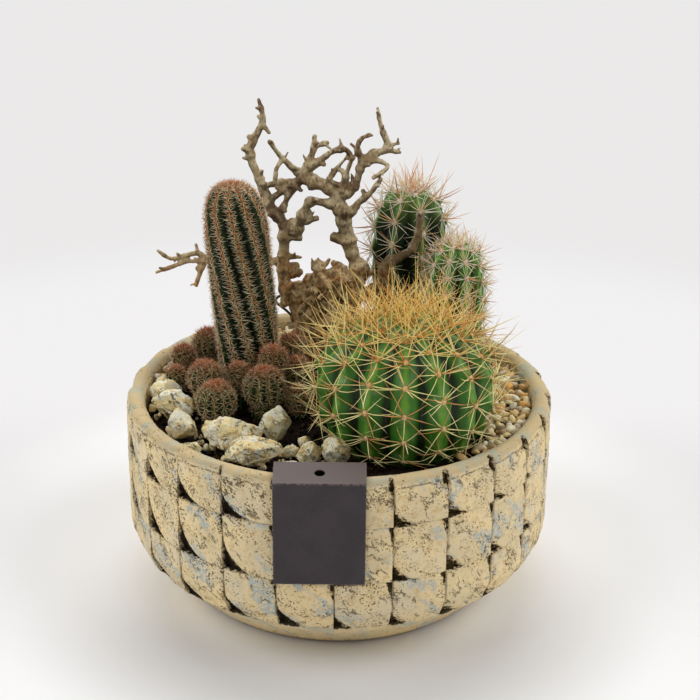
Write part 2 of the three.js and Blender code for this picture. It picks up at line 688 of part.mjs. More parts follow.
function gravel() {
  const outline = new THREE.Shape(GRAVEL_OUTLINE.map(([x, y]) => new THREE.Vector2(x, y)));
  const slab = new THREE.ExtrudeGeometry(outline, { depth: 20, bevelEnabled: false });
  const ring = drum(0, 0, INNER_RADIUS - GAP, ON_SOIL, BOWL_HEIGHT, INNER_SIDES);
  const bed = pebbleRelief().intersect(solidOf(slab.translate(0, 0, ON_SOIL))).intersect(solidOf(ring));
  const holes = [
    stemHole(BARREL.x, BARREL.y, 42, SOIL_TOP - 1, 30),
    stemHole(TALL.x, TALL.y, 16, SOIL_TOP - 1),
    stemHole(SHORT.x, SHORT.y, 12, SOIL_TOP - 1, 18),
    woodFoot(GAP, SOIL_TOP - 1, BOWL_HEIGHT),
    ...pinHoles(),
  ];
  return fused([holes.reduce((left, hole) => left.subtract(hole), bed)]);
}

function soil() {
  const profile = [[0, FLOOR_HEIGHT + GAP], [73, FLOOR_HEIGHT + GAP]];
  for (const [height, radius] of [INSIDE[1], INSIDE[3]]) profile.push([radius - GAP, height + GAP / 2]);
  profile.push([INNER_RADIUS - GAP, SOIL_TOP], [0, SOIL_TOP]);
  const rootEnd = SOIL_TOP - ROOT_DEPTH - GAP;
  const holes = [
    stemHole(BARREL.x, BARREL.y, 34, rootEnd, 30),
    stemHole(COLUMN.x, COLUMN.y, 13, rootEnd, 20),
    stemHole(TALL.x, TALL.y, 16, rootEnd),
    stemHole(SHORT.x, SHORT.y, 12, rootEnd, 18),
    ...OFFSETS.map(([x, y, , radius]) => stemHole(x, y, radius * NECK_SHARE, rootEnd, 8)),
    ...pinHoles(),
  ];
  return holes.reduce((left, hole) => left.subtract(hole), turned(profile));
}

// The card's side view as [y, z]: front panel, band that leans over the rim, tab inside the wall
const CARD_FRONT = -BOWL_RADIUS - 0.35;
const CARD_LINE = [[CARD_FRONT, CARD_BOTTOM], [CARD_FRONT, 104], [-95, 106.2], [-94.4, 94]];

function labelCard() {
  const line = CARD_LINE.map(([y, z]) => new THREE.Vector2(y, z));
  const outer = line.map((point, k) => {
    const into = line[Math.max(k, 1)].clone().sub(line[Math.max(k, 1) - 1]).normalize();
    const onward = k + 1 < line.length ? line[k + 1].clone().sub(line[k]).normalize() : into;
    const normal = new THREE.Vector2(-into.y - onward.y, into.x + onward.x).normalize();
    const spread = Math.max(0.5, normal.dot(new THREE.Vector2(-into.y, into.x)));
    return point.clone().addScaledVector(normal, CARD_THICKNESS / spread);
  });
  const strip = new THREE.Shape([...line, ...outer.reverse()]);
  const sheet = new THREE.ExtrudeGeometry(strip, { depth: CARD_WIDTH, bevelEnabled: false });
  // The side view's plane turns so that its first axis is Y and its second is Z
  const toSide = new THREE.Matrix4().makeBasis(vec(0, 1, 0), vec(0, 0, 1), vec(1, 0, 0));
  sheet.applyMatrix4(toSide).translate(CARD_LEFT, 0, 0);
  const [, low, high] = CARD_LINE;
  const hole = new THREE.CylinderGeometry(CARD_HOLE_RADIUS, CARD_HOLE_RADIUS, 8, 16);
  hole.rotateX(Math.PI / 2 + Math.atan2(high[1] - low[1], high[0] - low[0]));
  hole.translate(CARD_LEFT + CARD_WIDTH / 2, (low[0] + high[0]) / 2, (low[1] + high[1]) / 2);
  return solidOf(sheet).subtract(solidOf(hole));
}

addNode("bowl", bowl(), "cement");
addNode("soil", soil(), "soil");
addNode("gravel", gravel(), "gravel");
addNode("label_card", labelCard(), "card");
addNode("wire_pin", wirePin(), "wire");
PIN_POINTS.slice(1).forEach((point, k) => {
  guardLine("wire_pin", vec(...PIN_POINTS[k]), vec(...point), PIN_RADIUS + 0.7);
});

const woodPieces = [...LIMBS.map(limb), ...LUMPS.map(lump), woodFoot(0, ON_SOIL, 110)];
addNode("driftwood", fused(woodPieces), "wood");
for (const { points, from } of LIMBS) {
  points.slice(1).forEach((point, k) => guardLine("driftwood", vec(...points[k]), vec(...point), from + 1));
}
for (const [x, y, z, radius] of LUMPS) {
  guardEllipsoid("driftwood", vec(x, y, z), vec(radius, radius, radius).multiplyScalar(1.15));
}

STONES.forEach((row, index) => {
  const name = "stone_" + String(index + 1).padStart(2, "0");
  const [x, y, width, depth, height] = row;
  addNode(name, stone(row, index), "paleStone");
  guardEllipsoid(name, vec(x, y, ON_SOIL), vec(width / 2 + 1, depth / 2 + 1, height + 1));
});

// Every stem is guarded before any spine is placed
const plants = [
  { name: "barrel_cactus", stem: ribbedStem(BARREL), rule: BARREL_SPINES, skin: "barrelSkin" },
  { name: "back_cactus_tall", stem: ribbedStem(TALL), rule: TALL_SPINES, skin: "darkSkin" },
  { name: "back_cactus_short", stem: ribbedStem(SHORT), rule: SHORT_SPINES, skin: "brightSkin" },
  { name: "column_cactus", stem: ribbedStem(COLUMN), rule: COLUMN_SPINES, skin: "columnSkin" },
];
guardEllipsoid("barrel_cactus", vec(BARREL.x, BARREL.y, 121), vec(46.5, 46.5, 33));
guardLine("back_cactus_tall", vec(TALL.x, TALL.y, 95), vec(TALL.x, TALL.y, 168), 22.3);
guardLine("back_cactus_short", vec(SHORT.x, SHORT.y, 95), vec(SHORT.x, SHORT.y, 153), 16.4);
guardLine("column_cactus", vec(COLUMN.x, COLUMN.y, 95), vec(COLUMN.x - 7.3, COLUMN.y, 190), 16.7);
OFFSETS.forEach((row, index) => {
  const [x, y, middle, radius] = row;
  const name = "offset_" + String(index + 1).padStart(2, "0");
  const stem = offsetStem(row, index);
  plants.push({ name, stem, rule: offsetSpines(row, index), skin: "columnSkin" });
  guardLine(name, vec(x, y, middle), vec(x, y, middle + 0.1), radius + 0.2);
  guardLine(name, vec(x, y, SOIL_TOP), vec(x, y, middle), radius * NECK_SHARE + 0.5);
});
for (const { name, stem, rule, skin } of plants) {
  addNode(name, fused([stem.solid, ...spines(name, stem, rule)]), skin);
}

export default group;
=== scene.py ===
"""Looks of the cactus dish garden. Lengths are in millimetres until a mesh is made, which is in metres."""
import math

import bmesh
import bpy
import numpy as np
from mathutils import Matrix, Vector, noise


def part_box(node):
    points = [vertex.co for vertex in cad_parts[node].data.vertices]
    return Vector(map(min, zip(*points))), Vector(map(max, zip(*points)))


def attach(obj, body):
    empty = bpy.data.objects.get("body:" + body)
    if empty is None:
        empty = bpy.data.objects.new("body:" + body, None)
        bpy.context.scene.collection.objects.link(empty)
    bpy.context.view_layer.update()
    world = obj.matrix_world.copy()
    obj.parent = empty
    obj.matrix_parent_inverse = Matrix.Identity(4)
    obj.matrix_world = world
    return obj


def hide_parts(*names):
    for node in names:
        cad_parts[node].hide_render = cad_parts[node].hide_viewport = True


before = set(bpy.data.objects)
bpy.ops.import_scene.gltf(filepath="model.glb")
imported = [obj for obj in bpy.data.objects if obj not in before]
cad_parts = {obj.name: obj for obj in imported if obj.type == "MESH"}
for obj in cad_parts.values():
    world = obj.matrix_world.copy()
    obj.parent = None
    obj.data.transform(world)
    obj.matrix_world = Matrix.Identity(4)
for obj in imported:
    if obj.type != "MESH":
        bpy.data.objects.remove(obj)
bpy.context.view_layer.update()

MM = 0.001
TAU = 2 * math.pi
DEG = math.pi / 180
UP = np.array([0.0, 0.0, 1.0])

# Bowl, as in the part's source below the rim. Its sides are [height, radius]
TILE_COLUMNS = 25
TILE_ROWS = [24, 51, 80, 102]
FIRST_COLUMN = 0.4 * DEG
OUTSIDE = [[0, 80], [14, 93], [24, 105], [35, 110], [104, 110]]
INSIDE = [[10, 74], [16, 84], [26, 94], [36, 100], [104, 100]]
# The arc between two joints, a tile's mean side, and points across a tile
TILE_WIDTH = 27.6
TILE_SIDE = 27
TILE_STEPS = 32
# Where the wall stops, and the rolled rim's middle radius, lowest height and rise
WALL_TOP = 98
RIM_MIDDLE = 105
RIM_BASE = 98.8
RIM_RISE = 5.1

# What fills it. The gravel stays clear of STEM_FEET, which are [x, y, radius]
SOIL_TOP = 92
SOIL_RADIUS = 99.7
SOIL_CRUMBS = 2600
SOIL_CHIPS = 150
ROOT_DEPTH = 18
STONES = 14
BARREL_PLACE = [32.5, -36]
TALL_PLACE = [37.5, 70]
SHORT_PLACE = [61.3, 38]
WOOD_X = -8
WOOD_Y = 49
STEM_FEET = [[*BARREL_PLACE, 42], [*TALL_PLACE, 17], [*SHORT_PLACE, 13.5], [WOOD_X, WOOD_Y, 15]]
GRAVEL_OUTLINE = [
    [70, -82], [54, -50], [31, -12], [-4, 26], [-14, 34], [-40, 42], [-58, 44], [-66, 50],
    [-76, 50], [-87, 38], [-91, 22], [-92, 3], [-108, 3], [-108, 108], [108, 108], [108, -82],
]


# Materials


def srgb(red, green, blue):
    """A screen colour from 0 to 255 as the linear colour that shaders take."""
    share = np.array([red, green, blue]) / 255
    linear = np.where(share > 0.04045, ((share + 0.055) / 1.055) ** 2.4, share / 12.92)
    return (*linear.tolist(), 1.0)


class Value:
    """What a shader node gives. Sums and products of values are nodes too."""

    def __init__(self, paint, socket):
        self.paint = paint
        self.socket = socket

    def __add__(self, other):
        return self.paint.math("ADD", self, other)

    def __sub__(self, other):
        return self.paint.math("SUBTRACT", self, other)

    def __mul__(self, other):
        return self.paint.math("MULTIPLY", self, other)

    def __abs__(self):
        return self.paint.math("ABSOLUTE", self)

    def larger(self, other):
        return self.paint.math("MAXIMUM", self, other)

    def smaller(self, other):
        return self.paint.math("MINIMUM", self, other)

    def band(self, low, high):
        """0 below low, 1 above high and smooth between; low may be the larger."""
        sockets = {"Value": self, "From Min": low, "From Max": high}
        return self.paint.make("MapRange", sockets, interpolation_type="SMOOTHSTEP")


class Paint:
    """One node material: a colour, then coats over it. Places are in millimetres."""

    def __init__(self, name):
        self.material = bpy.data.materials.new(name)
        self.material.use_nodes = True
        self.tree = self.material.node_tree
        self.tree.nodes.clear()
        output = self.tree.nodes.new("ShaderNodeOutputMaterial")
        self.shader = self.tree.nodes.new("ShaderNodeBsdfPrincipled")
        self.tree.links.new(self.shader.outputs[0], output.inputs[0])
        self.place = self.scaled(1 / MM, 1 / MM, 1 / MM, self.make("TexCoord", output="Object"))
        self.colour = None

    def make(self, kind, sockets=None, output=0, **settings):
        node = self.tree.nodes.new("ShaderNode" + kind)
        for key, value in settings.items():
            setattr(node, key, value)
        for key, value in (sockets or {}).items():
            self.feed(node, key, value)
        return Value(self, node.outputs[output])

    def feed(self, node, key, value):
        if isinstance(value, Value):
            self.tree.links.new(value.socket, node.inputs[key])
        else:
            node.inputs[key].default_value = value

    def math(self, operation, first, second=0.0):
        return self.make("Math", {0: first, 1: second}, operation=operation)

    def apart(self):
        """The place's X, Y and Z."""
        parts = self.make("SeparateXYZ", {0: self.place}).socket.node.outputs
        return [Value(self, part) for part in parts]

    def joined(self, x, y, z):
        return self.make("CombineXYZ", {0: x, 1: y, 2: z})

    def scaled(self, x, y, z, vector=None):
        return self.make("VectorMath", {0: vector or self.place, 1: (x, y, z)}, operation="MULTIPLY")

    def noise(self, size, detail=3.0, vector=None, rough=0.55):
        """Noise from 0 to 1 with waves of that size."""
        sockets = {"Vector": vector or self.place, "Scale": 1 / size, "Detail": detail, "Roughness": rough}
        return self.make("TexNoise", sockets)

    def cells(self, size):
        """Distance to the nearest of dots that lie about that far apart."""
        return self.make("TexVoronoi", {"Vector": self.place, "Scale": 1 / size}, output="Distance")

    def mark(self, name):
        """A number that the mesh holds for each of its points."""
        return self.make("Attribute", output="Fac", attribute_name=name)

    def mix(self, share, first, second):
        """The second colour over the first; each is a value or a screen colour."""
        first, second = (tint if isinstance(tint, Value) else srgb(*tint) for tint in (first, second))
        return self.make("Mix", {0: share, 6: first, 7: second}, output=2, data_type="RGBA")

    def coat(self, share, colour):
        """Lays a colour over what is there, as thick as share."""
        self.colour = self.mix(share, self.colour, colour)

    def ramp(self, value, stops):
        """Colours at [place, screen colour] stops."""
        made = self.make("ValToRGB", {0: value})
        elements = made.socket.node.color_ramp.elements
        while len(elements) < len(stops):
            elements.new(0.5)
        for element, (place, colour) in zip(elements, stops):
            element.position = place
            element.color = srgb(*colour)
        return made

    def finish(self, roughness, height=None, depth=0.2, specular=0.3):
        """Feeds the shader; height times depth is the bump."""
        self.feed(self.shader, "Base Color", self.colour)
        self.feed(self.shader, "Roughness", roughness)
        self.feed(self.shader, "Specular IOR Level", specular)
        if height is not None:
            bump = self.make("Bump", {"Height": height, "Distance": depth * MM, "Strength": 1.0})
            self.feed(self.shader, "Normal", bump)
        return self.material


# Meshes


def unit(vectors):
    return vectors / np.maximum(np.linalg.norm(vectors, axis=-1, keepdims=True), 1e-9)


def circle(count):
    """Angles evenly round a circle."""
    return np.arange(count) * TAU / count


def run_along(path):
    """Distance from the start at each point of a path."""
    return np.concatenate([[0], np.cumsum(np.linalg.norm(np.diff(path, axis=0), axis=1))])


def around(angle, radius, height):
    """Points at those angles, radii and heights round the origin."""
    height = np.broadcast_to(height, angle.shape)
    return np.stack([radius * np.cos(angle), radius * np.sin(angle), height], -1)


def wander(points, size, octaves=2, shift=0.0):
    """Smooth noise from about -1 to 1 at each point, with waves of that size."""
    total = np.zeros(len(points))
    for octave in range(octaves):
        scaled = np.asarray(points) * (2**octave / size) + shift + 31.7 * octave
        total += np.array([noise.noise(place) for place in scaled.tolist()]) / 2**octave
    return total


def wander_aside(points, size, octaves, shift):
    """The same noise along X, Y and Z."""
    return np.stack([wander(points, size, octaves, shift * axis) for axis in (1, 2, 3)], -1)


class Shell:
    """Points and faces of one piece, which may hold many loose closed bodies."""

    def __init__(self):
        self.points = []
        self.faces = []
        self.paints = []
        self.marks = {}
        self.count = 0

    def add(self, points, faces, paint=0, **marks):
        """Adds points and lists of faces that count from 0; a mark is one value, or one a point."""
        points = np.asarray(points, float).reshape(-1, 3)
        for array in faces:
            array = np.asarray(array, int)
            self.faces.append(array + self.count)
            self.paints.append(np.full(len(array), paint))
        for name in set(marks) | set(self.marks):
            earlier = self.marks.setdefault(name, [np.zeros(self.count)])
            earlier.append(np.broadcast_to(marks.get(name, 0.0), len(points)).astype(float))
        self.points.append(points)
        self.count += len(points)

    def add_copies(self, bodies, faces, paint=0, **marks):
        """Adds bodies, as (bodies, points, 3), of the same faces; a mark has one value a body or a point."""
        count, size, _ = bodies.shape
        starts = (np.arange(count) * size)[:, None, None]
        every = [(starts + array).reshape(-1, array.shape[1]) for array in faces]
        full = {name: np.repeat(mark, size) if len(mark) == count else mark for name, mark in marks.items()}
        self.add(bodies, every, paint, **full)

    def data(self, name, materials):
        """A mesh of all that was added."""
        made = bpy.data.meshes.new(name)
        points = np.concatenate(self.points) * MM
        corners = np.concatenate([array.ravel() for array in self.faces])
        sizes = np.concatenate([np.full(len(array), array.shape[1]) for array in self.faces])
        made.vertices.add(len(points))
        made.vertices.foreach_set("co", points.ravel())
        made.loops.add(len(corners))
        made.loops.foreach_set("vertex_index", corners)
        made.polygons.add(len(sizes))
        made.polygons.foreach_set("loop_start", np.cumsum(sizes) - sizes)
        made.polygons.foreach_set("material_index", np.concatenate(self.paints))
        made.polygons.foreach_set("use_smooth", np.full(len(sizes), True))
        for mark, values in self.marks.items():
            set_mark(made, mark, np.concatenate(values))
        for material in materials:
            made.materials.append(material)
        made.update(calc_edges=True)
        made.validate()
        return made


def set_mark(mesh, name, values):
    """A number on each point, which materials read."""
    mesh.attributes.new(name, "FLOAT", "POINT").data.foreach_set("value", values)


def link(name, data):
    """Makes an object and adds it to the scene."""
    made = bpy.data.objects.new(name, data)
    bpy.context.scene.collection.objects.link(made)
    return made


def put(name, mesh, slot, *nodes):
    """Shows a mesh as a piece that stands for the CAD nodes."""
    piece = link(name, mesh)
    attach(piece, "root")
    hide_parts(*nodes)


def ring_faces(rows, columns):
    """Quads between closed rings that run counter-clockwise and follow each other upwards."""
    row = np.arange(rows - 1)[:, None] * columns
    here = np.arange(columns)
    onward = (here + 1) % columns
    corners = [row + here, row + onward, row + columns + onward, row + columns + here]
    return np.stack(corners, -1).reshape(-1, 4)


def closed_rings(shell, rings, start, end, paint=0, **marks):
    """Adds rings of points, as (rows, columns, 3), closed by a fan to a point at each end."""
    rows, columns, _ = rings.shape
    here = np.arange(columns)
    onward = (here + 1) % columns
    first = rows * columns
    last = first - columns
    fans = [
        np.stack([np.full(columns, first), onward, here], -1),
        np.stack([np.full(columns, first + 1), last + here, last + onward], -1),
    ]
    full = {}
    for name, value in marks.items():
        value = np.broadcast_to(value, (rows, columns))
        full[name] = np.concatenate([value.ravel(), [value[0].mean(), value[-1].mean()]])
    points = np.concatenate([rings.reshape(-1, 3), [start, end]])
    shell.add(points, [ring_faces(rows, columns), *fans], paint, **full)


def needles(shell, roots, directions, lengths, widths, bends, paint, sides, steps, **marks):
    """Adds tapering spines with closed roots; bends are sideways shares of the length at the tip."""
    across = np.cross(directions, UP)
    across[np.linalg.norm(across, axis=1) < 0.05] = [1.0, 0.0, 0.0]
    across = unit(across - directions * (across * directions).sum(1, keepdims=True))
    other = np.cross(directions, across)
    share = np.arange(steps) / steps
    turns = circle(sides)
    reach = lengths[:, None, None]
    centres = roots[:, None] + directions[:, None] * reach * share[:, None]
    centres = centres + bends[:, None] * reach * (share**2)[:, None]
    radii = widths[:, None] / 2 * (1 - share) ** 0.7
    swing = np.cos(turns)[:, None] * across[:, None, None] + np.sin(turns)[:, None] * other[:, None, None]
    rings = centres[:, :, None] + radii[:, :, None, None] * swing
    tips = roots + (directions + bends) * lengths[:, None]
    bodies = np.concatenate([rings.reshape(len(roots), -1, 3), tips[:, None]], 1)
    here = np.arange(sides)
    last = (steps - 1) * sides
    tip_fan = np.stack([last + here, last + (here + 1) % sides, np.full(sides, last + sides)], -1)
    along = np.tile(np.append(np.repeat(share, sides), 1.0), len(roots))
    faces = [tip_fan, here[None, ::-1], ring_faces(steps, sides)]
    shell.add_copies(bodies, faces, paint, along=along, **marks)


def smooth_curve(points, per_span):
    """A centripetal Catmull-Rom curve through the points."""
    points = np.asarray(points, float)
    padded = np.concatenate([[2 * points[0] - points[1]], points, [2 * points[-1] - points[-2]]])
    moves = np.diff(padded, axis=0)
    gaps = np.maximum(np.linalg.norm(moves, axis=1, keepdims=True), 1e-6) ** 0.5
    slopes = moves / gaps
    tangents = slopes[:-1] - (padded[2:] - padded[:-2]) / (gaps[:-1] + gaps[1:]) + slopes[1:]
    t = (np.arange(per_span) / per_span)[:, None]
    made = []
    for start, end, leaving, arriving, gap in zip(points, points[1:], tangents, tangents[1:], gaps[1:]):
        ends = (2 * t**3 - 3 * t**2 + 1) * start + (t**3 - 2 * t**2 + t) * leaving * gap
        made.append(ends + (3 * t**2 - 2 * t**3) * end + (t**3 - t**2) * arriving * gap)
    return np.concatenate([*made, points[-1:]])


def add_tube(shell, path, radii, sides):
    """Adds a closed tube along a path, with blunt ends."""
    tangents = unit(np.gradient(path, axis=0))
    normal = np.cross(tangents[0], UP)
    if np.linalg.norm(normal) < 0.1:
        normal = np.array([1.0, 0.0, 0.0])
    turns = circle(sides)
    rings = []
    for centre, tangent, radius in zip(path, tangents, radii):
        normal = normal - tangent * normal.dot(tangent)
        normal = normal / np.linalg.norm(normal)
        other = np.cross(tangent, normal)
        rings.append(centre + radius * (np.outer(np.cos(turns), normal) + np.outer(np.sin(turns), other)))
    start = path[0] - tangents[0] * radii[0] * 0.4
    end = path[-1] + tangents[-1] * radii[-1] * 0.4
    closed_rings(shell, np.array(rings), start, end)


def sphere_pattern(subdivisions):
    """The unit points and triangles of a sphere made of an icosahedron."""
    ball = bmesh.new()
    bmesh.ops.create_icosphere(ball, subdivisions=subdivisions, radius=1.0)
    points = np.array([v.co for v in ball.verts])
    faces = np.array([[v.index for v in face.verts] for face in ball.faces])
    ball.free()
    return points, faces


# Bowl


def dense_ends(count):
    """Places from 0 up to 1 that crowd at both ends, where the tiles meet."""
    t = np.arange(count) / count
    return t - 0.1 * np.sin(TAU * t)


def tile_relief(u, v, size, to_right):
    """Depth of a woven tile below the bowl's round wall, and how much of that is dark pocket."""
    wide = (0.56 - 0.18 * to_right) * size
    tall = (0.62 - 0.3 * to_right) * size
    curve = 0.62 + 0.3 * to_right
    pocket = np.clip(1 - (u / wide) ** curve - (v / tall) ** curve, 0, 1)
    pocket = np.clip(pocket * (2.8 - 0.8 * to_right), 0, 1)
    side = np.clip(1 - (1 - u) / 0.13 - np.clip(1 - v - 0.02, 0, 1) / 0.4, 0, 1)
    notch = np.clip(side * 2.5, 0, 1) * (0.2 + 0.8 * to_right)
    fold = np.clip(1 - u / 0.8 - v / 0.9, 0, 1)
    far_fold = np.clip(1 - (1 - u) / 0.7 - (1 - v) / 0.7, 0, 1)
    depth = 2.4 * pocket**0.8 + (1.8 - 1.5 * to_right) * fold**1.3
    depth = depth + 1.2 * notch + 0.5 * (1 - to_right) * far_fold
    upright = np.minimum(u, 1 - u) * TILE_SIDE
    level = np.minimum(v, 1 - v) * TILE_SIDE
    depth = depth + 0.5 * np.clip(1 - upright / 0.8, 0, 1) + 0.2 * np.clip(1 - level / 0.8, 0, 1)
    return depth, pocket + notch


def bowl_mesh(material):
    draw = np.random.default_rng(3)
    u = np.tile(dense_ends(TILE_STEPS), TILE_COLUMNS)
    column = np.repeat(np.arange(TILE_COLUMNS), TILE_STEPS)
    angle = -math.pi / 2 - FIRST_COLUMN + (column + u) * TAU / TILE_COLUMNS
    to_right = 0.5 + 0.5 * np.sin(angle + math.pi / 2)
    rings = []
    pits = []

    def ring(radius, height, pit=0.0):
        rings.append(around(angle, radius, height))
        pits.append(np.broadcast_to(pit, angle.shape))

    def wall(height, side=OUTSIDE):
        return np.interp(height, *np.array(side).T)

    for height, radius in [(0, 40), (0, 72), (0, 79), (1.2, 81.4), (3.5, 83.8)]:
        ring(radius, height)
    for height in np.arange(5, 23, 1.5):
        ring(wall(height), height)
    for row, (low, high) in enumerate(zip(TILE_ROWS, TILE_ROWS[1:])):
        swell = draw.uniform(0.78, 1.1, TILE_COLUMNS)[column]
        lean = draw.uniform(-0.35, 0.35, TILE_COLUMNS)[column]
        for v in dense_ends(22):
            height = low + (high - low) * v
            if height > WALL_TOP:
                break
            depth, pit = tile_relief(u, v, swell * (1.1 - 0.2 * to_right), to_right)
            scallop = 2 * u * np.clip((height - 84) / 20, 0, 1)
            foot_fade = np.clip((height - low) / 1.5, 0.35, 1) if row == 0 else 1
            ring(wall(height) - depth * foot_fade - scallop + lean * (u - 0.5) - 0.1, height, pit)
    # The rolled rim
    for turn in np.linspace(0, math.pi, 17):
        outer = math.cos(turn) > 0
        half = 5 - (2 * u + 0.5 if outer else 0)
        depth, pit = tile_relief(u, 1.0 - 0.1 * math.cos(turn) if outer else 1.0, 0.5, to_right)
        fade = max(0.0, math.cos(turn)) ** 1.5
        radius = RIM_MIDDLE + half * math.cos(turn) - depth * fade * 0.8
        ring(radius, RIM_BASE + RIM_RISE * math.sin(turn) ** 0.75, pit * fade)
    for height in (97, 92, 60, 36, 26, 16, 10):
        ring(wall(height, INSIDE), height)
    ring(40, 10)
    rings = np.array(rings)
    flat = rings.reshape(-1, 3)
    slant = flat @ np.array(Matrix.Rotation(0.6, 3, "X"))
    rough = 0.3 * wander(flat, 12) + 0.26 * wander(slant, 3.6, 3)
    rough = rough - 0.6 * np.clip(wander(flat, 3.4) - 0.4, 0, 1)
    rough = rough * np.clip((flat[:, 2] - 0.5) / 3, 0, 1)
    flat = flat + unit(flat * [1, 1, 0]) * rough[:, None]
    shell = Shell()
    closed_rings(shell, flat.reshape(rings.shape), [0, 0, 0], [0, 0, 10], pit=np.array(pits))
    return shell.data("bowl_cast", [material])


def cement():
    """Cream cement with blue wash, dark speckles, thin cracks, ragged joints and dark pits."""
    paint = Paint("cast_cement")
    x, y, z = paint.apart()
    wobble = paint.noise(5, 4) - 0.5
    column = paint.math("ARCTAN2", x, y * -1) * (TILE_COLUMNS / TAU) + FIRST_COLUMN * TILE_COLUMNS / TAU
    tile = paint.math("FLOORED_MODULO", paint.math("FLOOR", column), TILE_COLUMNS)
    u = paint.math("FRACT", column) * TILE_WIDTH
    # Distance to the nearest upright and level joint, with a ragged edge
    upright = paint.math("PINGPONG", u, TILE_WIDTH / 2) + wobble * 2.2
    level = abs(z - TILE_ROWS[0])
    row = paint.math("GREATER_THAN", z, TILE_ROWS[0])
    for height in TILE_ROWS[1:]:
        level = level.smaller(abs(z - height))
        row = row + paint.math("GREATER_THAN", z, height)
    level = level + wobble * 3.4
    # Diagonal frame of each tile, from its upper left to its lower right corner
    diagonal = paint.joined((u - z) * 0.32, (u + z) * 0.7, tile * 37 + row * 411)
    tiled = z.band(19, 25) * z.band(102.5, 99)
    # Crisp speckles in swarms, and more beside the joints
    to_right = x.band(-110, 110)
    near = upright.band(4, 0.5).larger(level.band(3, 0.5))
    crowd = near * 0.3 + paint.noise(9, 3, diagonal).band(0.42, 0.62)
    limit = crowd * -0.1 + 0.74 + tiled * -0.06 + to_right * 0.03
    over = paint.noise(1.0, 2.2, rough=0.6) - limit
    speckle = over.band(0, 0.014).larger((paint.noise(2.3, 5, rough=0.75) - limit).band(0.07, 0.085))
    # Thin cracks that follow the diagonal, and one under the lip
    crack = abs(paint.noise(6, 5, diagonal, rough=0.7) - 0.5).band(0.02, 0.006)
    crack = crack * paint.noise(8, 2).band(0.5, 0.58) * tiled
    lip = (wobble * 5 + abs(z - 99.6)).band(0.7, 0.2) * paint.noise(5, 3).band(0.42, 0.55)
    # Joints and pits
    joint = level.band(0.5, 0.1) * (to_right * -0.6 + 0.7)
    joint = joint.larger(upright.band(0.6, 0.3) * (to_right * -0.5 + 1))
    joint = joint * (paint.noise(5, 4).band(0.4, 0.54) * 0.6 + 0.4) * tiled
    torn = paint.noise(2.2, 5, rough=0.72) - 0.5
    pocket = paint.mark("pit")
    tear = (to_right * 4 + 2.2) * pocket.band(0, 0.2)
    ragged = torn * tear + pocket + to_right * 0.12
    pit = ragged.band(0.36, 0.46)
    dark = speckle.larger(crack).larger(joint).larger(lip)
    # Colours: warm cream, ochre crusts and a broken blue-grey wash
    crust = paint.noise(3, 5, rough=0.7).band(0.5, 0.62) * 0.5
    wash = paint.noise(13, 3, diagonal).band(0.52, 0.64) * paint.noise(1.7, 4, rough=0.7).band(0.4, 0.56)
    paint.colour = paint.mix(paint.noise(22, 3).band(0.35, 0.65), (249, 224, 172), (232, 213, 170))
    paint.coat(crust, (208, 172, 112))
    paint.coat(paint.noise(19, 4).band(0.46, 0.66) * 0.45, (230, 220, 192))
    paint.coat(wash * 0.8, (172, 190, 196))
    paint.coat(over.band(-0.05, 0) * 0.4, (196, 154, 92))
    rim = paint.mix(paint.noise(17, 4).band(0.46, 0.62), (206, 184, 140), (184, 184, 162))
    paint.coat(z.band(100, 102.5) * 0.85, paint.mix(crust * 0.3, rim, (200, 166, 112)))
    paint.coat((torn * 8 + z).band(5, 0.5) * 0.7, (140, 106, 62))
    paint.coat(ragged.band(0.18, 0.36) * 0.75, (134, 108, 52))
    paint.coat(dark * 0.85, paint.mix(paint.noise(3, 3).band(0.4, 0.6), (88, 68, 38), (58, 54, 48)))
    moss = paint.noise(1.6, 4, rough=0.7).band(0.46, 0.58) * to_right
    paint.coat(pit, paint.mix(moss, (34, 29, 22), (98, 76, 22)))
    height = paint.noise(0.8, 4, rough=0.65) * 0.6 + dark * -0.9 + pit * -0.6
    return paint.finish(0.86, height, 0.45, 0.22)


# Soil, gravel and stones


def over_gravel(x, y):
    """True where a place is inside the gravel's outline."""
    inside = np.zeros(np.shape(x), bool)
    for (x1, y1), (x2, y2) in zip(GRAVEL_OUTLINE, GRAVEL_OUTLINE[1:] + GRAVEL_OUTLINE[:1]):
        if y1 != y2:
            inside ^= ((y1 > y) != (y2 > y)) & (x < x1 + (x2 - x1) * (y - y1) / (y2 - y1))
    return inside


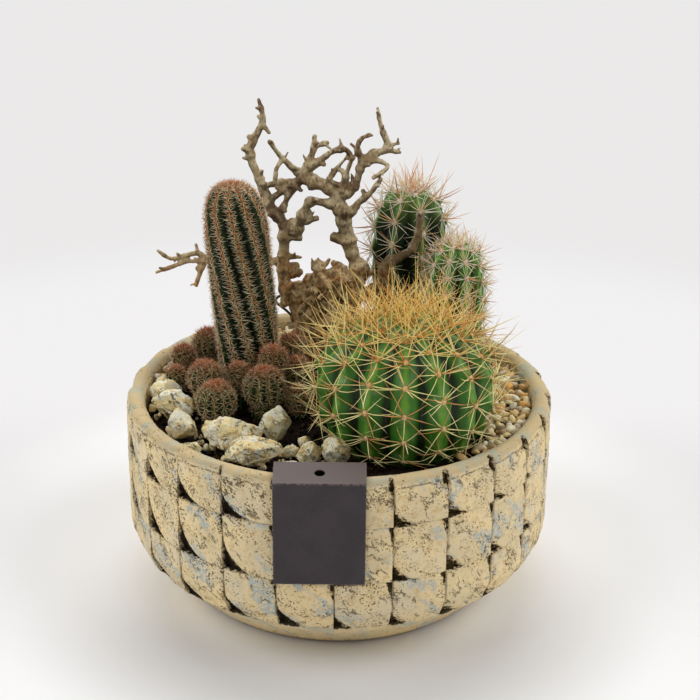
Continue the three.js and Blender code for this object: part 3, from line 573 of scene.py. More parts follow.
def soil_mesh(materials):
    """Crumbly soil with small stone chips between the stones."""
    angle = circle(220)
    sides = [(10.3, 40), (10.3, 73), (16.2, 83.7), (36.2, 99.6), (88, SOIL_RADIUS)]
    top = [(SOIL_TOP - 0.8, r) for r in [*np.arange(SOIL_RADIUS, 20, -1.3), *np.arange(20, 2, -2)]]
    rings = np.array([around(angle, radius, height) for height, radius in sides + top])
    flat = rings.reshape(-1, 3)
    rough = 0.9 * wander(flat, 14) + 0.8 * wander(flat, 3.5, 3, 5.0)
    flat[:, 2] += np.where(flat[:, 2] > 90, rough, 0)
    shell = Shell()
    closed_rings(shell, rings, [0, 0, 10.3], [0, 0, rings[-1, :, 2].mean()], tone=0.3)
    draw = np.random.default_rng(5)
    pattern, faces = sphere_pattern(1)
    radius = (SOIL_RADIUS - 1.5) * np.sqrt(draw.uniform(0, 1, SOIL_CRUMBS))
    middles = around(draw.uniform(0, TAU, SOIL_CRUMBS), radius, 0.0)
    middles[:, 2] = SOIL_TOP + draw.uniform(-0.4, 0.9, SOIL_CRUMBS)
    middles = middles[~over_gravel(middles[:, 0], middles[:, 1])]
    count = len(middles)
    sizes = draw.uniform(0.5, 1.7, (count, 1, 1)) * draw.uniform(0.55, 1.3, (count, 1, 3))
    jitter = draw.uniform(0.7, 1.25, (count, len(pattern), 1))
    tones = draw.uniform(0, 1, count)
    shell.add_copies(middles[:, None] + pattern * sizes * jitter, [faces], tone=tones)
    for _ in range(SOIL_CHIPS):
        low, high = (np.array(corner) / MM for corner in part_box(f"stone_{draw.integers(1, 15):02d}"))
        middle = draw.uniform(low - 4, high + 4)
        if math.hypot(middle[0], middle[1]) > SOIL_RADIUS - 4:
            continue
        sizes = draw.uniform(0.5, 2.2) * draw.uniform(0.5, 1.2, 3)
        jitter = draw.uniform(0.7, 1.25, (len(pattern), 1))
        shell.add([middle[0], middle[1], SOIL_TOP + 0.9] + pattern * jitter * sizes, [faces], 1, tone=0.5)
    return shell.data("soil_crumbs", materials)


def compost():
    """Nearly black soil with brown crumbs and pale fibres."""
    paint = Paint("compost")
    grain = paint.noise(1.6, 4, rough=0.7)
    fibre = paint.noise(3, 4, paint.scaled(1, 0.25, 1)).band(0.64, 0.7)
    paint.colour = paint.mix(grain.band(0.4, 0.7), (22, 16, 13), (52, 38, 29))
    paint.coat(paint.mark("tone").band(0.7, 1) * 0.6, (84, 62, 44))
    paint.coat(fibre * 0.5, (120, 92, 62))
    return paint.finish(0.95, grain, 0.5, 0.15)


def scatter(draw, spacing):
    """A jittered grid of places on the gravel, clear of the stems."""
    steps = np.arange(-SOIL_RADIUS, SOIL_RADIUS, spacing)
    x, y = (axis.ravel() for axis in np.meshgrid(steps, steps))
    x = x + draw.uniform(-0.42, 0.42, len(x)) * spacing
    y = y + draw.uniform(-0.42, 0.42, len(y)) * spacing
    blur = 3.0 * np.array([draw.normal(size=len(x)), draw.normal(size=len(x))])
    kept = over_gravel(x + blur[0], y + blur[1]) & (np.hypot(x, y) < SOIL_RADIUS - 2)
    for foot_x, foot_y, radius in STEM_FEET:
        kept &= np.hypot(x - foot_x, y - foot_y) > radius
    return x[kept], y[kept]


def turned(points, angles, first, second):
    """Each body's points turned by its own angle, from the first axis towards the second."""
    cos = np.cos(angles)[:, None]
    sin = np.sin(angles)[:, None]
    made = points.copy()
    made[..., first] = points[..., first] * cos - points[..., second] * sin
    made[..., second] = points[..., first] * sin + points[..., second] * cos
    return made


def add_pebbles(shell, draw, spacing, height, subdivisions, size):
    """A layer of long pebbles with worn flat sides, which stay inside the bowl's wall."""
    pattern, faces = sphere_pattern(subdivisions)
    x, y = scatter(draw, spacing)
    count = len(x)
    swell = 1.4 * wander(np.stack([x, y, np.full(count, height)], -1), 22)
    heaped = 3.5 * np.clip((np.hypot(x, y) - 86) / 9, 0, 1) * (x < -60)
    middles = np.stack([x, y, height + swell + heaped + draw.uniform(-0.7, 0.7, count)], -1)
    axes = draw.uniform(0.7, 1.25, (count, 3)) * np.array([1.42, 0.95, 0.76]) * size
    planes = unit(draw.normal(size=(count, 9, 3)))
    lean = np.einsum("nkj,pj->npk", planes, pattern) / draw.uniform(0.6, 1.0, (count, 1, 9))
    reach = 1 / np.maximum(lean.max(-1), 0.85)
    points = pattern * reach[..., None] * axes[:, None]
    turn = draw.uniform(0, TAU, count)
    points = turned(points, draw.normal(0, 0.35, count), 0, 2)
    points = middles[:, None] + turned(points, turn, 0, 1)
    out = np.hypot(points[..., 0], points[..., 1])
    points[..., :2] *= np.minimum(1, (SOIL_RADIUS - 0.2) / out)[..., None]
    shell.add_copies(points, [faces], tone=draw.uniform(0, 1, count))


def gravel_mesh(material):
    draw = np.random.default_rng(7)
    shell = Shell()
    for layer in [(4.2, 93.8, 1, 2.6), (4.0, 95.3, 2, 2.2), (4.6, 97.2, 2, 2.3)]:
        add_pebbles(shell, draw, *layer)
    return shell.data("gravel_grains", [material])


def grit():
    """Pebbles of mixed colours, with painted shade on those that lie deep."""
    paint = Paint("gravel_grit")
    _, _, z = paint.apart()
    stops = [
        [0.0, (255, 244, 208)], [0.2, (244, 218, 160)], [0.36, (212, 172, 110)], [0.46, (240, 180, 84)],
        [0.6, (186, 168, 138)], [0.74, (255, 250, 222)], [0.9, (134, 100, 64)], [1.0, (248, 226, 172)],
    ]
    paint.colour = paint.ramp(paint.mark("tone"), stops)
    paint.coat(paint.noise(1.2, 4, rough=0.7).band(0.5, 0.66) * 0.4, (120, 96, 66))
    # Painted shade: pebbles that lie deep, between the upper ones, are darkened.
    paint.coat(z.band(97.6, 95.2) * 0.9, (48, 34, 24))
    return paint.finish(0.7, paint.noise(0.6, 3), 0.15, 0.4)


def even_directions(count, draw):
    """Directions spread evenly over a sphere, each a little astray."""
    rise = 1 - (2 * np.arange(count) + 1) / count
    turn = np.arange(count) * math.pi * (3 - 5**0.5) + draw.uniform(0, TAU)
    return unit(around(turn, np.sqrt(1 - rise**2), rise) + draw.normal(0, 0.22, (count, 3)))


def chips(directions, draw, count, step, slope):
    """Growth factors of patches that broke off, each along a plane of its own."""
    seeds = unit(draw.normal(size=(count, 3)))
    tilts = draw.normal(size=(count, 3)) * slope * (8 / count) ** 0.5
    levels = draw.uniform(-step, step, count)
    bent = directions + 0.1 * wander_aside(directions, 0.3, 2, 9.0)
    nearest = np.argmax(bent @ seeds.T, axis=1)
    change = levels[nearest] + ((directions - seeds[nearest]) * tilts[nearest]).sum(1)
    return (1 + change)[:, None]


def stone_mesh(name, index, material):
    """A broken stone with flat chips and worn edges, fitted to the box of its CAD node."""
    draw = np.random.default_rng(60 + index)
    low, high = (np.array(corner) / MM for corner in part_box(name))
    size = high - low
    pattern, faces = sphere_pattern(6 if size.max() > 20 else 5)
    planes = even_directions(15, draw)
    offsets = draw.uniform(0.66, 0.95, 15)
    lean = np.clip(pattern @ planes.T / offsets, 0, None)
    reach = 1 / np.maximum((lean**40).sum(1) ** (1 / 40), 0.8)
    points = pattern * reach[:, None] * chips(pattern, draw, 22, 0.055, 0.15)
    points = points * chips(pattern, draw, 90, 0.014, 0.2)
    layers = points @ unit(draw.normal(size=3)) * 5.5 + 0.8 * wander(points, 0.8, 2, index + 7.0)
    ledges = np.abs(layers - np.round(layers)) * 2
    rough = 0.03 * wander(points, 0.5, 3, index) + 0.012 * wander(points, 0.11, 3, index)
    points = points * (1 + rough - 0.05 * np.clip(ledges - 0.6, 0, 1))[:, None]
    share = (points - points.min(0)) / (points.max(0) - points.min(0)) - 0.5
    shell = Shell()
    shell.add((low + high) / 2 + share * size * [1.1, 1.1, 1.08], [faces])
    return shell.data(name + "_rock", [material])


def veined_stone():
    """Pale stone with ochre patches, grey layers, dark veins and dark spots."""
    paint = Paint("veined_stone")
    x, y, z = paint.apart()
    layered = paint.joined(paint.noise(9, 3) * 11 + x * 0.45 + z * 0.8, y * 0.3, x * 0.3)
    line = abs(paint.noise(5, 5, layered, rough=0.65) - 0.5).band(0.018, 0.006)
    vein = paint.noise(2.2, 6, layered, rough=0.75).band(0.575, 0.61)
    vein = vein.larger(line * paint.noise(6, 3).band(0.5, 0.58))
    paint.colour = paint.mix(paint.noise(7, 4).band(0.42, 0.6), (255, 252, 228), (255, 240, 188))
    paint.coat(paint.noise(4, 5, rough=0.65).band(0.48, 0.62) * 0.7, (244, 202, 116))
    paint.coat(paint.noise(3.6, 5, layered, rough=0.68).band(0.55, 0.64) * 0.4, (188, 174, 142))
    paint.coat(vein * 0.8, (74, 66, 54))
    paint.coat(paint.noise(0.9, 3, rough=0.7).band(0.64, 0.68) * 0.6, (78, 68, 52))
    return paint.finish(0.82, paint.noise(1.3, 5, rough=0.72) + vein * -0.35, 0.8, 0.25)


# Cacti


def ladder(first, last, low_gap, high_gap):
    """Distances from first to last whose gaps change evenly from low_gap to high_gap."""
    made = [first]
    while True:
        share = (made[-1] - first) / max(last - first, 1e-6)
        onward = made[-1] + low_gap + (high_gap - low_gap) * share
        if onward > last:
            return made
        made.append(onward)


class Cactus:
    """A ribbed stem through rings of [height, crest radius, groove depth], root first, and its spines."""

    # Ladders are distances above ground along the ribs, first for the even ribs and then for the odd
    # Spines that would end below low are turned up
    def __init__(self, seed, x, y, rings, crown, ribs, phase=0.0, twist=0.0, lean=0.0, low=93.2):
        self.draw = np.random.default_rng(seed)
        self.shell = Shell()
        self.x = x
        self.y = y
        self.ribs = ribs
        self.phase = phase
        self.twist = twist
        self.lean = lean
        self.low = low
        line = smooth_curve([[r, z, g * 0.5] for z, r, g in rings] + [[0, crown, 0]], 12)
        line[:, 0] = np.maximum(line[:, 0], 0)
        line[:, 2] = np.maximum(line[:, 2] * 2, 0)
        self.line = line
        self.distances = run_along(line[:, :2])
        half = len(line) // 2
        self.ground = np.interp(SOIL_TOP, line[:half, 1], self.distances[:half])
        self.length = self.distances[-1]
        self.whole = self.length - self.ground

    def at(self, distance):
        """Radius, height and groove at a distance along the rib from the root's end."""
        return [np.interp(distance, self.distances, self.line[:, k]) for k in range(3)]

    def angle(self, height, rib):
        return self.phase * DEG - self.twist * DEG * (height - SOIL_TOP) + rib * TAU / self.ribs

    def axis(self, height):
        sideways = self.x + self.lean * np.maximum(0, height - SOIL_TOP)
        return np.stack([sideways, np.full(np.shape(height), self.y), height], -1)

    def crests(self, ladders):
        """Frames of the areoles."""
        rows = [(rib, d) for rib in range(self.ribs) for d in ladders[rib % 2]]
        rib, d = (np.array(values, float) for values in zip(*rows))
        distance = d + self.ground
        radius, height, _ = self.at(distance)
        after = self.at(distance + 0.6)
        before = self.at(distance - 0.6)
        outward = around(self.angle(height, rib), 1, 0)
        rise = unit(np.stack([after[0] - before[0], after[1] - before[1]], -1))
        along = outward * rise[:, :1] + UP * rise[:, 1:]
        normal = outward * rise[:, 1:] - UP * rise[:, :1]
        root = self.axis(height) + outward * radius[:, None]
        side = np.cross(normal, along)
        return {"root": root, "normal": normal, "along": along, "side": side, "rank": d / self.whole}

    def body(self, rows, per_rib, ladders, valley_power, swell, swell_width):
        """Ribs with round valleys and crests that swell at each areole."""
        distances = np.linspace(0, self.length, rows + 1)[:-1]
        radius, height, groove = self.at(distances)
        rib = np.arange(self.ribs * per_rib) / per_rib
        across = 1 - np.abs(2 * (rib % 1) - 1)
        least = 0.06 ** (valley_power / 2)
        valley = ((across**2 + 0.06) ** (valley_power / 2) - least) / (1.06 ** (valley_power / 2) - least)
        ridge = (1 - across) ** 1.5
        bumps = 0
        for parity in (0, 1):
            gaps = np.abs(distances[:, None] - self.ground - np.array(ladders[parity])).min(1)
            own = np.round(rib).astype(int) % self.ribs % 2 == parity
            bumps = bumps + np.exp(-((gaps / swell_width) ** 2))[:, None] * ridge * own
        fade = np.clip(radius / 8, 0, 1)[:, None]
        reach = radius[:, None] - groove[:, None] * valley - swell * (ridge - bumps) * fade
        angle = self.angle(height[:, None], rib)
        rings = self.axis(height)[:, None] + around(angle, reach, 0)
        rough = 0.25 * wander(rings.reshape(-1, 3), 9).reshape(reach.shape)
        rings = rings + around(angle, rough * fade, 0)
        lift = np.clip((distances - self.ground) / self.whole, 0, 1)[:, None]
        top = self.axis(np.float64(self.line[-1, 1]))
        closed_rings(self.shell, rings, self.axis(height[0]), top, crest=1 - across[None], lift=lift)

    def pads(self, crests, paint, radius, subdivisions=1):
        """Small woolly cushions, one on every areole."""
        pattern, faces = sphere_pattern(subdivisions)
        number = len(crests["root"])
        local = pattern * self.draw.uniform(0.85, 1.15, (number, len(pattern), 1)) * radius
        axes = np.stack([crests["side"] * 0.85, crests["along"] * 1.1, crests["normal"] * 0.6], 1)
        points = crests["root"][:, None] + np.einsum("nij,njk->nik", local, axes)
        tones = self.draw.uniform(0, 1, number)
        self.shell.add_copies(points, [faces], paint, tone=tones, lift=crests["rank"])

    def spray(self, crests, paint, count, tilt, length, width, curl=0.06, lift=0.0, sides=4, steps=3,
              fan=1.0, loose=8):
        """Spines round every areole; tilt, from the skin's normal, and length run from foot to crown."""
        # A fan below 1 turns the spines sideways, and loose is the spread of the tilt in degrees
        draw = self.draw
        number = len(crests["root"])
        whole = {name: np.repeat(value, count, axis=0) for name, value in crests.items()}
        order = np.tile(np.arange(count), number)
        turn = (order + 0.5 + draw.uniform(-0.35, 0.35, len(order))) * TAU / count
        turn = (turn + np.repeat(draw.uniform(0, TAU, number), count))[:, None]
        rank = whole["rank"]
        lean = (np.interp(rank, [0, 1], tilt) + draw.normal(0, loose, len(order)))[:, None] * DEG
        sideways = unit(whole["side"] * np.cos(turn) + whole["along"] * fan * np.sin(turn))
        directions = unit(whole["normal"] * np.cos(lean) + sideways * np.sin(lean) + lift * UP)
        lengths = np.interp(rank, np.linspace(0, 1, len(length)), length)
        lengths = lengths * draw.uniform(0.72, 1.2, len(order))
        roots = whole["root"] + sideways * width * 0.8 - whole["normal"] * width * 0.5
        directions = self.keep_above(roots, directions, lengths)
        bends = curl * unit(draw.normal(size=(len(order), 3))) + curl * 0.8 * UP
        widths = width * draw.uniform(0.8, 1.15, len(order))
        marks = {"tone": draw.uniform(0, 1, len(order)), "lift": rank}
        needles(self.shell, roots, directions, lengths, widths, bends, paint, sides, steps, **marks)

    def keep_above(self, roots, directions, lengths):
        """Turns up the spines that would end too low."""
        needed = (self.low - roots[:, 2]) / lengths
        rise = np.where(directions[:, 2] < needed, np.clip(needed, -0.95, 0.95), directions[:, 2])
        flat = np.sqrt(np.clip(1 - rise**2, 0.01, 1))[:, None]
        return np.concatenate([unit(directions[:, :2]) * flat, rise[:, None]], 1)

    def show(self, node, slot, materials):
        name = node + "_grown"
        put(name, self.shell.data(name, materials), slot, node)


def skin(name, light, middle, dark, bloom_and_sheen=0.0, specular=0.2, groove=0.5, ridge=0.5, top=0.35):
    """Cactus skin: painted highlight on the crests and the top, painted shade in the grooves, pale patches
    of bloom and painted sheen, fine dots and scars near the foot.
    """
    paint = Paint(name)
    lift = paint.mark("lift")
    lean = (paint.noise(11, 3) - 0.5) * 0.5 + paint.mark("crest")
    dots = paint.cells(1.1).band(0.16, 0.06)
    scar = paint.noise(2.5, 5, rough=0.7).band(0.6, 0.7) * lift.band(0.25, 0)
    # Painted shade: the grooves get the dark colour, the flanks the middle one.
    paint.colour = paint.mix(lean.band(0.02, groove), dark, middle)
    # Painted highlight: the light colour along the crests.
    paint.coat(lean.band(ridge, 1), light)
    # Painted highlight: the top of the plant gets the light colour, as much as top.
    paint.coat(lift.band(0.7, 1) * top, light)
    # Pale patches on the flanks, partly a real bloom and partly a painted sheen.
    paint.coat(paint.noise(9, 3).band(0.5, 0.68) * lean.band(0.25, 0.7) * bloom_and_sheen, (168, 184, 150))
    paint.coat(dots * 0.25, (170, 190, 130))
    paint.coat(scar * 0.7, (118, 100, 62))
    return paint.finish(0.45, dots * 0.4 + paint.noise(3, 4), 0.18, specular)


def spines(name, foot_low, foot_high, tip, root):
    """Spines: colour by height on the plant, a dark root and some darker or paler spines."""
    paint = Paint(name)
    tone = paint.mark("tone")
    paint.colour = paint.mix(paint.mark("lift").band(0.3, 0.95), foot_low, foot_high)
    paint.coat(tone * 0.55, tip)
    paint.coat(tone.band(0.36, 0.16) * 0.75, root)
    paint.coat(paint.mark("along").band(0.2, 0) * 0.6, root)
    return paint.finish(0.4, specular=0.45)


def wool(name, low, high):
    """Woolly cushions: colour by height on the plant, with darker tufts."""
    paint = Paint(name)
    paint.colour = paint.mix(paint.mark("lift"), low, high)
    paint.coat(paint.noise(0.6, 3).band(0.4, 0.7) * 0.3, (120, 84, 58))
    return paint.finish(0.95, paint.noise(0.35, 3), 0.3, 0.1)


# Stems, as rings of [height, crest radius, groove depth]
BARREL_RINGS = [
    [74, 33, 0], [92.4, 34, 0.5], [99, 39.3, 3.5], [109, 43.6, 6], [121, 45.2, 7], [133, 43.2, 7],
    [143, 36, 6.3], [150, 23.5, 4], [153, 9, 1],
]
COLUMN_RINGS = [
    [74, 12, 0], [92.4, 13, 0], [98, 15, 2.8], [125, 16.2, 3.6], [155, 16.2, 3.6], [185, 15.8, 3.5],
    [196, 13.8, 2.8], [203, 8.8, 1.4],
]
TALL_RINGS = [
    [74, 15, 0], [100, 16, 0], [107, 19.5, 3], [140, 21.8, 5], [165, 21.5, 5], [179, 18, 4.4],
    [186.5, 11, 2.2],
]
SHORT_RINGS = [
    [74, 11, 0], [100, 12, 0], [107, 14.8, 2], [130, 15.9, 3.6], [152, 15.4, 3.6], [163, 12, 2.8],
    [168, 6.5, 1],
]

# Small globes round the column's foot, as [x, y, height of the middle, radius]
OFFSETS = [
    [-62, -22, 103, 10], [-38, -13.5, 107, 10.6], [-69, -4.5, 108, 8.8], [-52, -2.5, 110, 5.4],
    [-71, 34, 111, 8.4], [-83, 23, 108, 6.4], [-86, 11.5, 101.5, 5.6], [-34, 0.5, 117, 6.8],
    [-26, 28.5, 112, 6.8], [-22, 7, 107, 7.5], [-21, -13, 101, 6.4],
]


def barrel_cactus():
    plant = Cactus(11, *BARREL_PLACE, BARREL_RINGS, 151.5, 15, phase=-92)
    ladders = [ladder(6, plant.whole - 13, 14.5, 12), ladder(13, plant.whole - 8, 14.3, 11)]
    plant.body(96, 14, ladders, 1.3, 2.4, 4.2)
    crests = plant.crests(ladders)
    shoulder = {name: value[crests["rank"] > 0.55] for name, value in crests.items()}
    top = plant.crests([[plant.whole - 6], [plant.whole - 2.5]])
    plant.pads(crests, 1, 1.45, 2)
    plant.spray(crests, 1, 14, [50, 50], [1.9, 2.4], 0.36, sides=3, steps=1, loose=20)
    plant.spray(crests, 2, 8, [80, 60], [13, 16, 20, 24, 24], 0.64, 0.17, 0.04, steps=4, fan=0.6)
    plant.spray(crests, 2, 2, [36, 34], [12, 16, 22, 27, 27], 0.72, 0.12, 0.12, steps=4, loose=18)
    plant.spray(shoulder, 2, 3, [54, 52], [23, 27], 0.62, 0.1, 0.1, steps=4, loose=26)
    plant.spray(top, 2, 4, [46, 46], [22, 22], 0.62, lift=0.1, steps=4, loose=28)
    plant.show("barrel_cactus", "barrel_skin", [
        skin("barrel_skin", (104, 156, 46), (54, 112, 24), (12, 32, 6), 0.2, 0.4, ridge=0.66),
        wool("barrel_wool", (250, 226, 180), (236, 182, 96)),
        spines("golden_spines", (255, 236, 164), (255, 206, 80), (255, 248, 184), (194, 108, 34)),
    ])


def column_cactus():
    plant = Cactus(12, -46.6, 20, COLUMN_RINGS, 205, 11, phase=-34, twist=0.59, lean=-0.075)
    ladders = [ladder(first, plant.whole - 2, 2.5, 2.2) for first in (4, 5.2)]
    plant.body(110, 12, ladders, 1.5, 0.5, 0.9)
    crests = plant.crests(ladders)
    top = plant.crests([ladder(plant.whole - 6, plant.whole - 1, 2.2, 2)] * 2)
    plant.pads(crests, 1, 0.75)
    plant.spray(crests, 2, 8, [78, 72], [4.4, 4.9, 4.0], 0.37, 0.12, sides=3, steps=2, fan=0.5)
    plant.spray(crests, 3, 2, [46, 46], [2.4, 2.7, 3.0], 0.36, sides=3, steps=2, loose=18)
    plant.spray(top, 3, 5, [50, 44], [3.0, 3.2], 0.36, sides=3, steps=2, loose=22)
    plant.show("column_cactus", "column_skin", [
        skin("column_skin", (60, 82, 34), (28, 46, 18), (5, 10, 5)),
        wool("column_wool", (196, 144, 96), (200, 112, 66)),
        spines("column_radials", (248, 228, 186), (244, 212, 162), (255, 246, 216), (190, 138, 90)),
        spines("column_centrals", (196, 140, 90), (204, 110, 66), (228, 178, 126), (140, 84, 48)),
    ])


def offset_cacti():
    materials = [
        skin("offset_skin", (88, 116, 52), (46, 70, 28), (10, 18, 8)),
        wool("offset_wool", (150, 112, 80), (176, 84, 40)),
        spines("offset_radials", (236, 212, 164), (210, 142, 88), (255, 242, 206), (150, 90, 48)),
        spines("offset_centrals", (186, 112, 66), (196, 84, 32), (224, 158, 104), (124, 56, 26)),
    ]
    for index, (x, y, middle, radius) in enumerate(OFFSETS):
        neck = radius * 0.65
        foot = max(SOIL_TOP + 0.4, middle - radius * 1.05)
        rings = [[SOIL_TOP - ROOT_DEPTH * 0.6, neck, 0], [foot, neck, 0]]
        for turn in (-50, -20, 15, 50, 72):
            level = middle + radius * math.sin(turn * DEG)
            if level > foot + 1:
                rings.append([level, radius * math.cos(turn * DEG), radius * 0.13])
        ribs = 12 if radius > 6 else 9
        plant = Cactus(30 + index, x, y, rings, middle + radius * 0.95, ribs, phase=17 * index, low=92.5)
        first = max(2.5, (foot - SOIL_TOP) * 0.8)
        ladders = [ladder(start, plant.whole - 1, 2.6, 2.2) for start in (first, first + 1.2)]
        plant.body(26, 6, ladders, 1.4, 0.4, 0.9)
        crests = plant.crests(ladders)
        top = plant.crests([ladder(0.8 * plant.whole, plant.whole - 0.8, 2, 1.7)] * 2)
        plant.spray(crests, 2, 6, [74, 68], [3.8, 3.8], 0.4, 0.14, sides=3, steps=2, fan=0.7)
        plant.spray(crests, 3, 1, [42, 36], [2.8, 3.4], 0.34, sides=3, steps=2, loose=16)
        plant.spray(top, 3, 3, [44, 30], [2.6, 3.2], 0.34, sides=3, steps=2, loose=16)
        plant.show(f"offset_{index + 1:02d}", "column_skin", materials)


def back_cacti():
    fluff = wool("tall_wool", (255, 236, 208), (255, 238, 214))
    pale = spines("white_radials", (255, 244, 210), (255, 248, 224), (255, 255, 244), (246, 216, 168))
    red = spines("red_centrals", (236, 184, 118), (236, 152, 82), (252, 206, 140), (184, 96, 44))

    plant = Cactus(13, *TALL_PLACE, TALL_RINGS, 188, 8, phase=-118, low=98.5)
    ladders = [ladder(16, plant.whole - 5, 15, 11), ladder(23, plant.whole - 6, 15, 11)]
    plant.body(84, 14, ladders, 1.25, 1.6, 4)
    crests = plant.crests(ladders)
    top = plant.crests([[plant.whole - 3]] * 2)
    plant.pads(crests, 1, 1.9, 2)
    plant.spray(crests, 1, 16, [52, 52], [2.2, 2.8], 0.36, sides=3, steps=1, loose=20)
    plant.spray(crests, 2, 14, [76, 62], [9, 12, 14], 0.64, 0.14, sides=3, loose=14)
    plant.spray(crests, 3, 2, [40, 34], [13, 15, 21], 0.7, lift=0.06, sides=5, steps=4, loose=18)
    plant.pads(top, 1, 2.5)
    plant.spray(top, 2, 4, [44, 44], [13, 13], 0.44, 0.2, 0.1, sides=3, loose=24)
    plant.spray(top, 3, 2, [38, 38], [17, 17], 0.6, lift=0.1, sides=5, steps=4, loose=24)
    green = skin("tall_skin", (118, 158, 70), (24, 48, 22), (5, 12, 6), 0.15, ridge=0.65, top=0.9)
    plant.show("back_cactus_tall", "dark_skin", [green, fluff, pale, red])

    plant = Cactus(14, *SHORT_PLACE, SHORT_RINGS, 169, 9, phase=-72, low=98.5)
    ladders = [ladder(14, plant.whole - 4, 10.5, 8), ladder(19, plant.whole - 3, 10.5, 8)]
    plant.body(72, 14, ladders, 1.25, 1.2, 3)
    crests = plant.crests(ladders)
    top = plant.crests([[plant.whole - 2.5]] * 2)
    plant.pads(crests, 1, 1.5, 2)
    plant.spray(crests, 1, 16, [52, 52], [2.0, 2.4], 0.34, sides=3, steps=1, loose=20)
    plant.spray(crests, 2, 15, [74, 60], [6.5, 8, 9.5], 0.62, 0.12, sides=3, loose=14)
    plant.spray(crests, 3, 3, [36, 30], [7, 9, 12], 0.5, lift=0.06, steps=4, loose=16)
    plant.pads(top, 1, 1.9)
    plant.spray(top, 2, 4, [30, 30], [9, 9], 0.36, lift=0.1, loose=20)
    green = skin("short_skin", (132, 180, 76), (62, 118, 42), (12, 34, 12), 0.2, groove=0.45, top=0.7)
    plant.show("back_cactus_short", "bright_skin", [green, fluff, pale, red])


# Driftwood, as in the part's source: limbs as radius at both ends and points, lumps as [x, y, z, radius]
LIMBS = [
    [4.6, 3.4, [[-29, 48, 130], [-30, 49, 140], [-31, 50, 149], [-30, 52, 173]]],
    [3.8, 3, [[-30, 52, 170], [-34, 54, 178], [-39, 56, 183], [-40, 57, 190]]],
    [3.2, 1.3, [
        [-40, 57, 186], [-43, 58, 195], [-48, 60, 207], [-48, 61, 214], [-42, 62, 226], [-42, 62, 232],
        [-44, 62, 239],
    ]],
    [1.7, 1, [[-47, 60, 207], [-53, 59, 208]]],
    [1.8, 1, [[-47, 61, 212], [-52, 62, 214]]],
    [1.6, 1, [[-42, 62, 226], [-38, 60, 221]]],
    [2.8, 2.2, [[-30, 50, 146], [-21, 47, 149]]],
    [2.6, 0.9, [[-30, 51, 156], [-21, 52, 155]]],
    [2.8, 2, [[-29, 52, 167], [-21, 50, 167]]],
    [3.2, 2.6, [
        [-31, 53, 171], [-23, 50, 175], [-20, 48, 182], [-16, 47, 188], [-9, 48, 187], [-2, 50, 184],
    ]],
    [2.4, 1.6, [[-23, 50, 175], [-12, 47, 179]]],
    [5, 4, [
        [6, 46, 138], [9, 46, 149], [6, 47, 159], [2, 49, 174], [-3, 51, 190], [-8, 52, 195], [-15, 53, 197],
        [-23, 54, 199],
    ]],
    [2.6, 2, [[-21, 54, 199], [-27, 54, 191], [-31, 54, 183], [-35, 54, 178]]],
    [2.6, 1.8, [[-22, 54, 198], [-29, 55, 193], [-35, 56, 188], [-41, 57, 185]]],
    [2.2, 1.8, [[-25, 55, 197], [-33, 57, 195], [-42, 58, 193]]],
    [3, 1.1, [[-20, 54, 199], [-27, 52, 206], [-31, 51, 210], [-38, 49, 220]]],
    [1.6, 1.3, [[-31, 51, 210], [-34, 48, 205], [-35, 47, 197]]],
    [3, 1.6, [[-21, 54, 200], [-18, 55, 206], [-15, 56, 213], [-14, 58, 221]]],
    [1.8, 1.2, [[-14, 57, 215], [-7, 59, 217]]],
    [2.4, 1.2, [[-18, 55, 203], [-4, 52, 214], [2, 52, 215], [6, 53, 209]]],
    [3.4, 1, [
        [-3, 51, 188], [6, 49, 195], [9, 48, 203], [10, 48, 211], [8, 47, 217], [10, 46, 222], [15, 45, 225],
    ]],
    [2.8, 1.1, [[9, 48, 210], [17, 48, 214], [24, 49, 217], [21, 50, 226], [18, 50, 238]]],
    [1.7, 0.9, [[22, 49, 218], [30, 50, 219]]],
    [1.8, 1, [[22, 49, 216], [31, 51, 214]]],
    [2.2, 1.2, [[9, 48, 208], [18, 46, 211], [24, 45, 208], [16, 43, 202]]],
    [2.6, 1.3, [[2, 49, 177], [8, 47, 186], [14, 46, 192], [21, 44, 202]]],
    [1.5, 1, [[-7, 52, 198], [-2, 50, 206], [3, 49, 212]]],
    [2, 1.2, [[0, 50, 190], [3, 47, 205], [6, 45, 213]]],
    [2.8, 2, [[-31, 51, 153], [-45, 52, 152], [-60, 50, 153], [-73, 48, 154]]],
    [2.2, 1, [[-70, 48, 154], [-77, 48, 158], [-91, 46, 156], [-98, 45, 161]]],
    [2, 1, [[-72, 48, 154], [-82, 46, 154], [-99, 42, 149]]],
    [1.7, 1.3, [[-74, 48, 153], [-78, 46, 140]]],
    [4.1, 2.3, [
        [4, 44, 136], [14, 42, 139], [21, 41, 144], [24, 40, 156], [31, 40, 160], [38, 40, 165],
        [42, 40, 186],
    ]],
    [3, 2, [[-29, 50, 133], [-31, 56, 127], [-32, 63, 123]]],
]
LUMPS = [
    [-23, 49, 136, 7], [-14, 48, 142, 8.5], [-5, 47, 144, 9], [4, 46, 142, 9], [-16, 50, 124, 12],
    [-2, 49, 124, 13], [-8, 49, 112, 14], [-12, 46, 152, 4.5], [10, 46, 151, 6], [-25, 52, 172, 6],
]
WOOD_VOXEL = 0.7
ROOTS = 13
FOOT_STUBS = 24


def add_stub(shell, draw, place, tangent, radius):
    """A short broken side twig, blunt or pointed."""
    side = unit(np.cross(tangent, draw.normal(size=3)))
    side = unit(side + tangent * draw.uniform(-0.2, 0.7) + 0.25 * UP)
    pointed = draw.uniform() < 0.45
    length = radius + (draw.uniform(1.8, 3.6) if pointed else draw.uniform(0.8, 3.4))
    bend = place + side * length * 0.6 + draw.normal(0, 0.3, 3)
    path = smooth_curve([place, bend, bend + side * length * 0.5 + draw.normal(0, 0.4, 3)], 4)
    thick = max(0.85, radius * draw.uniform(0.4, 0.62))
    tip = 0.4 if pointed else thick * 0.85
    add_tube(shell, path, np.linspace(thick * 1.15, tip, len(path)), 8)


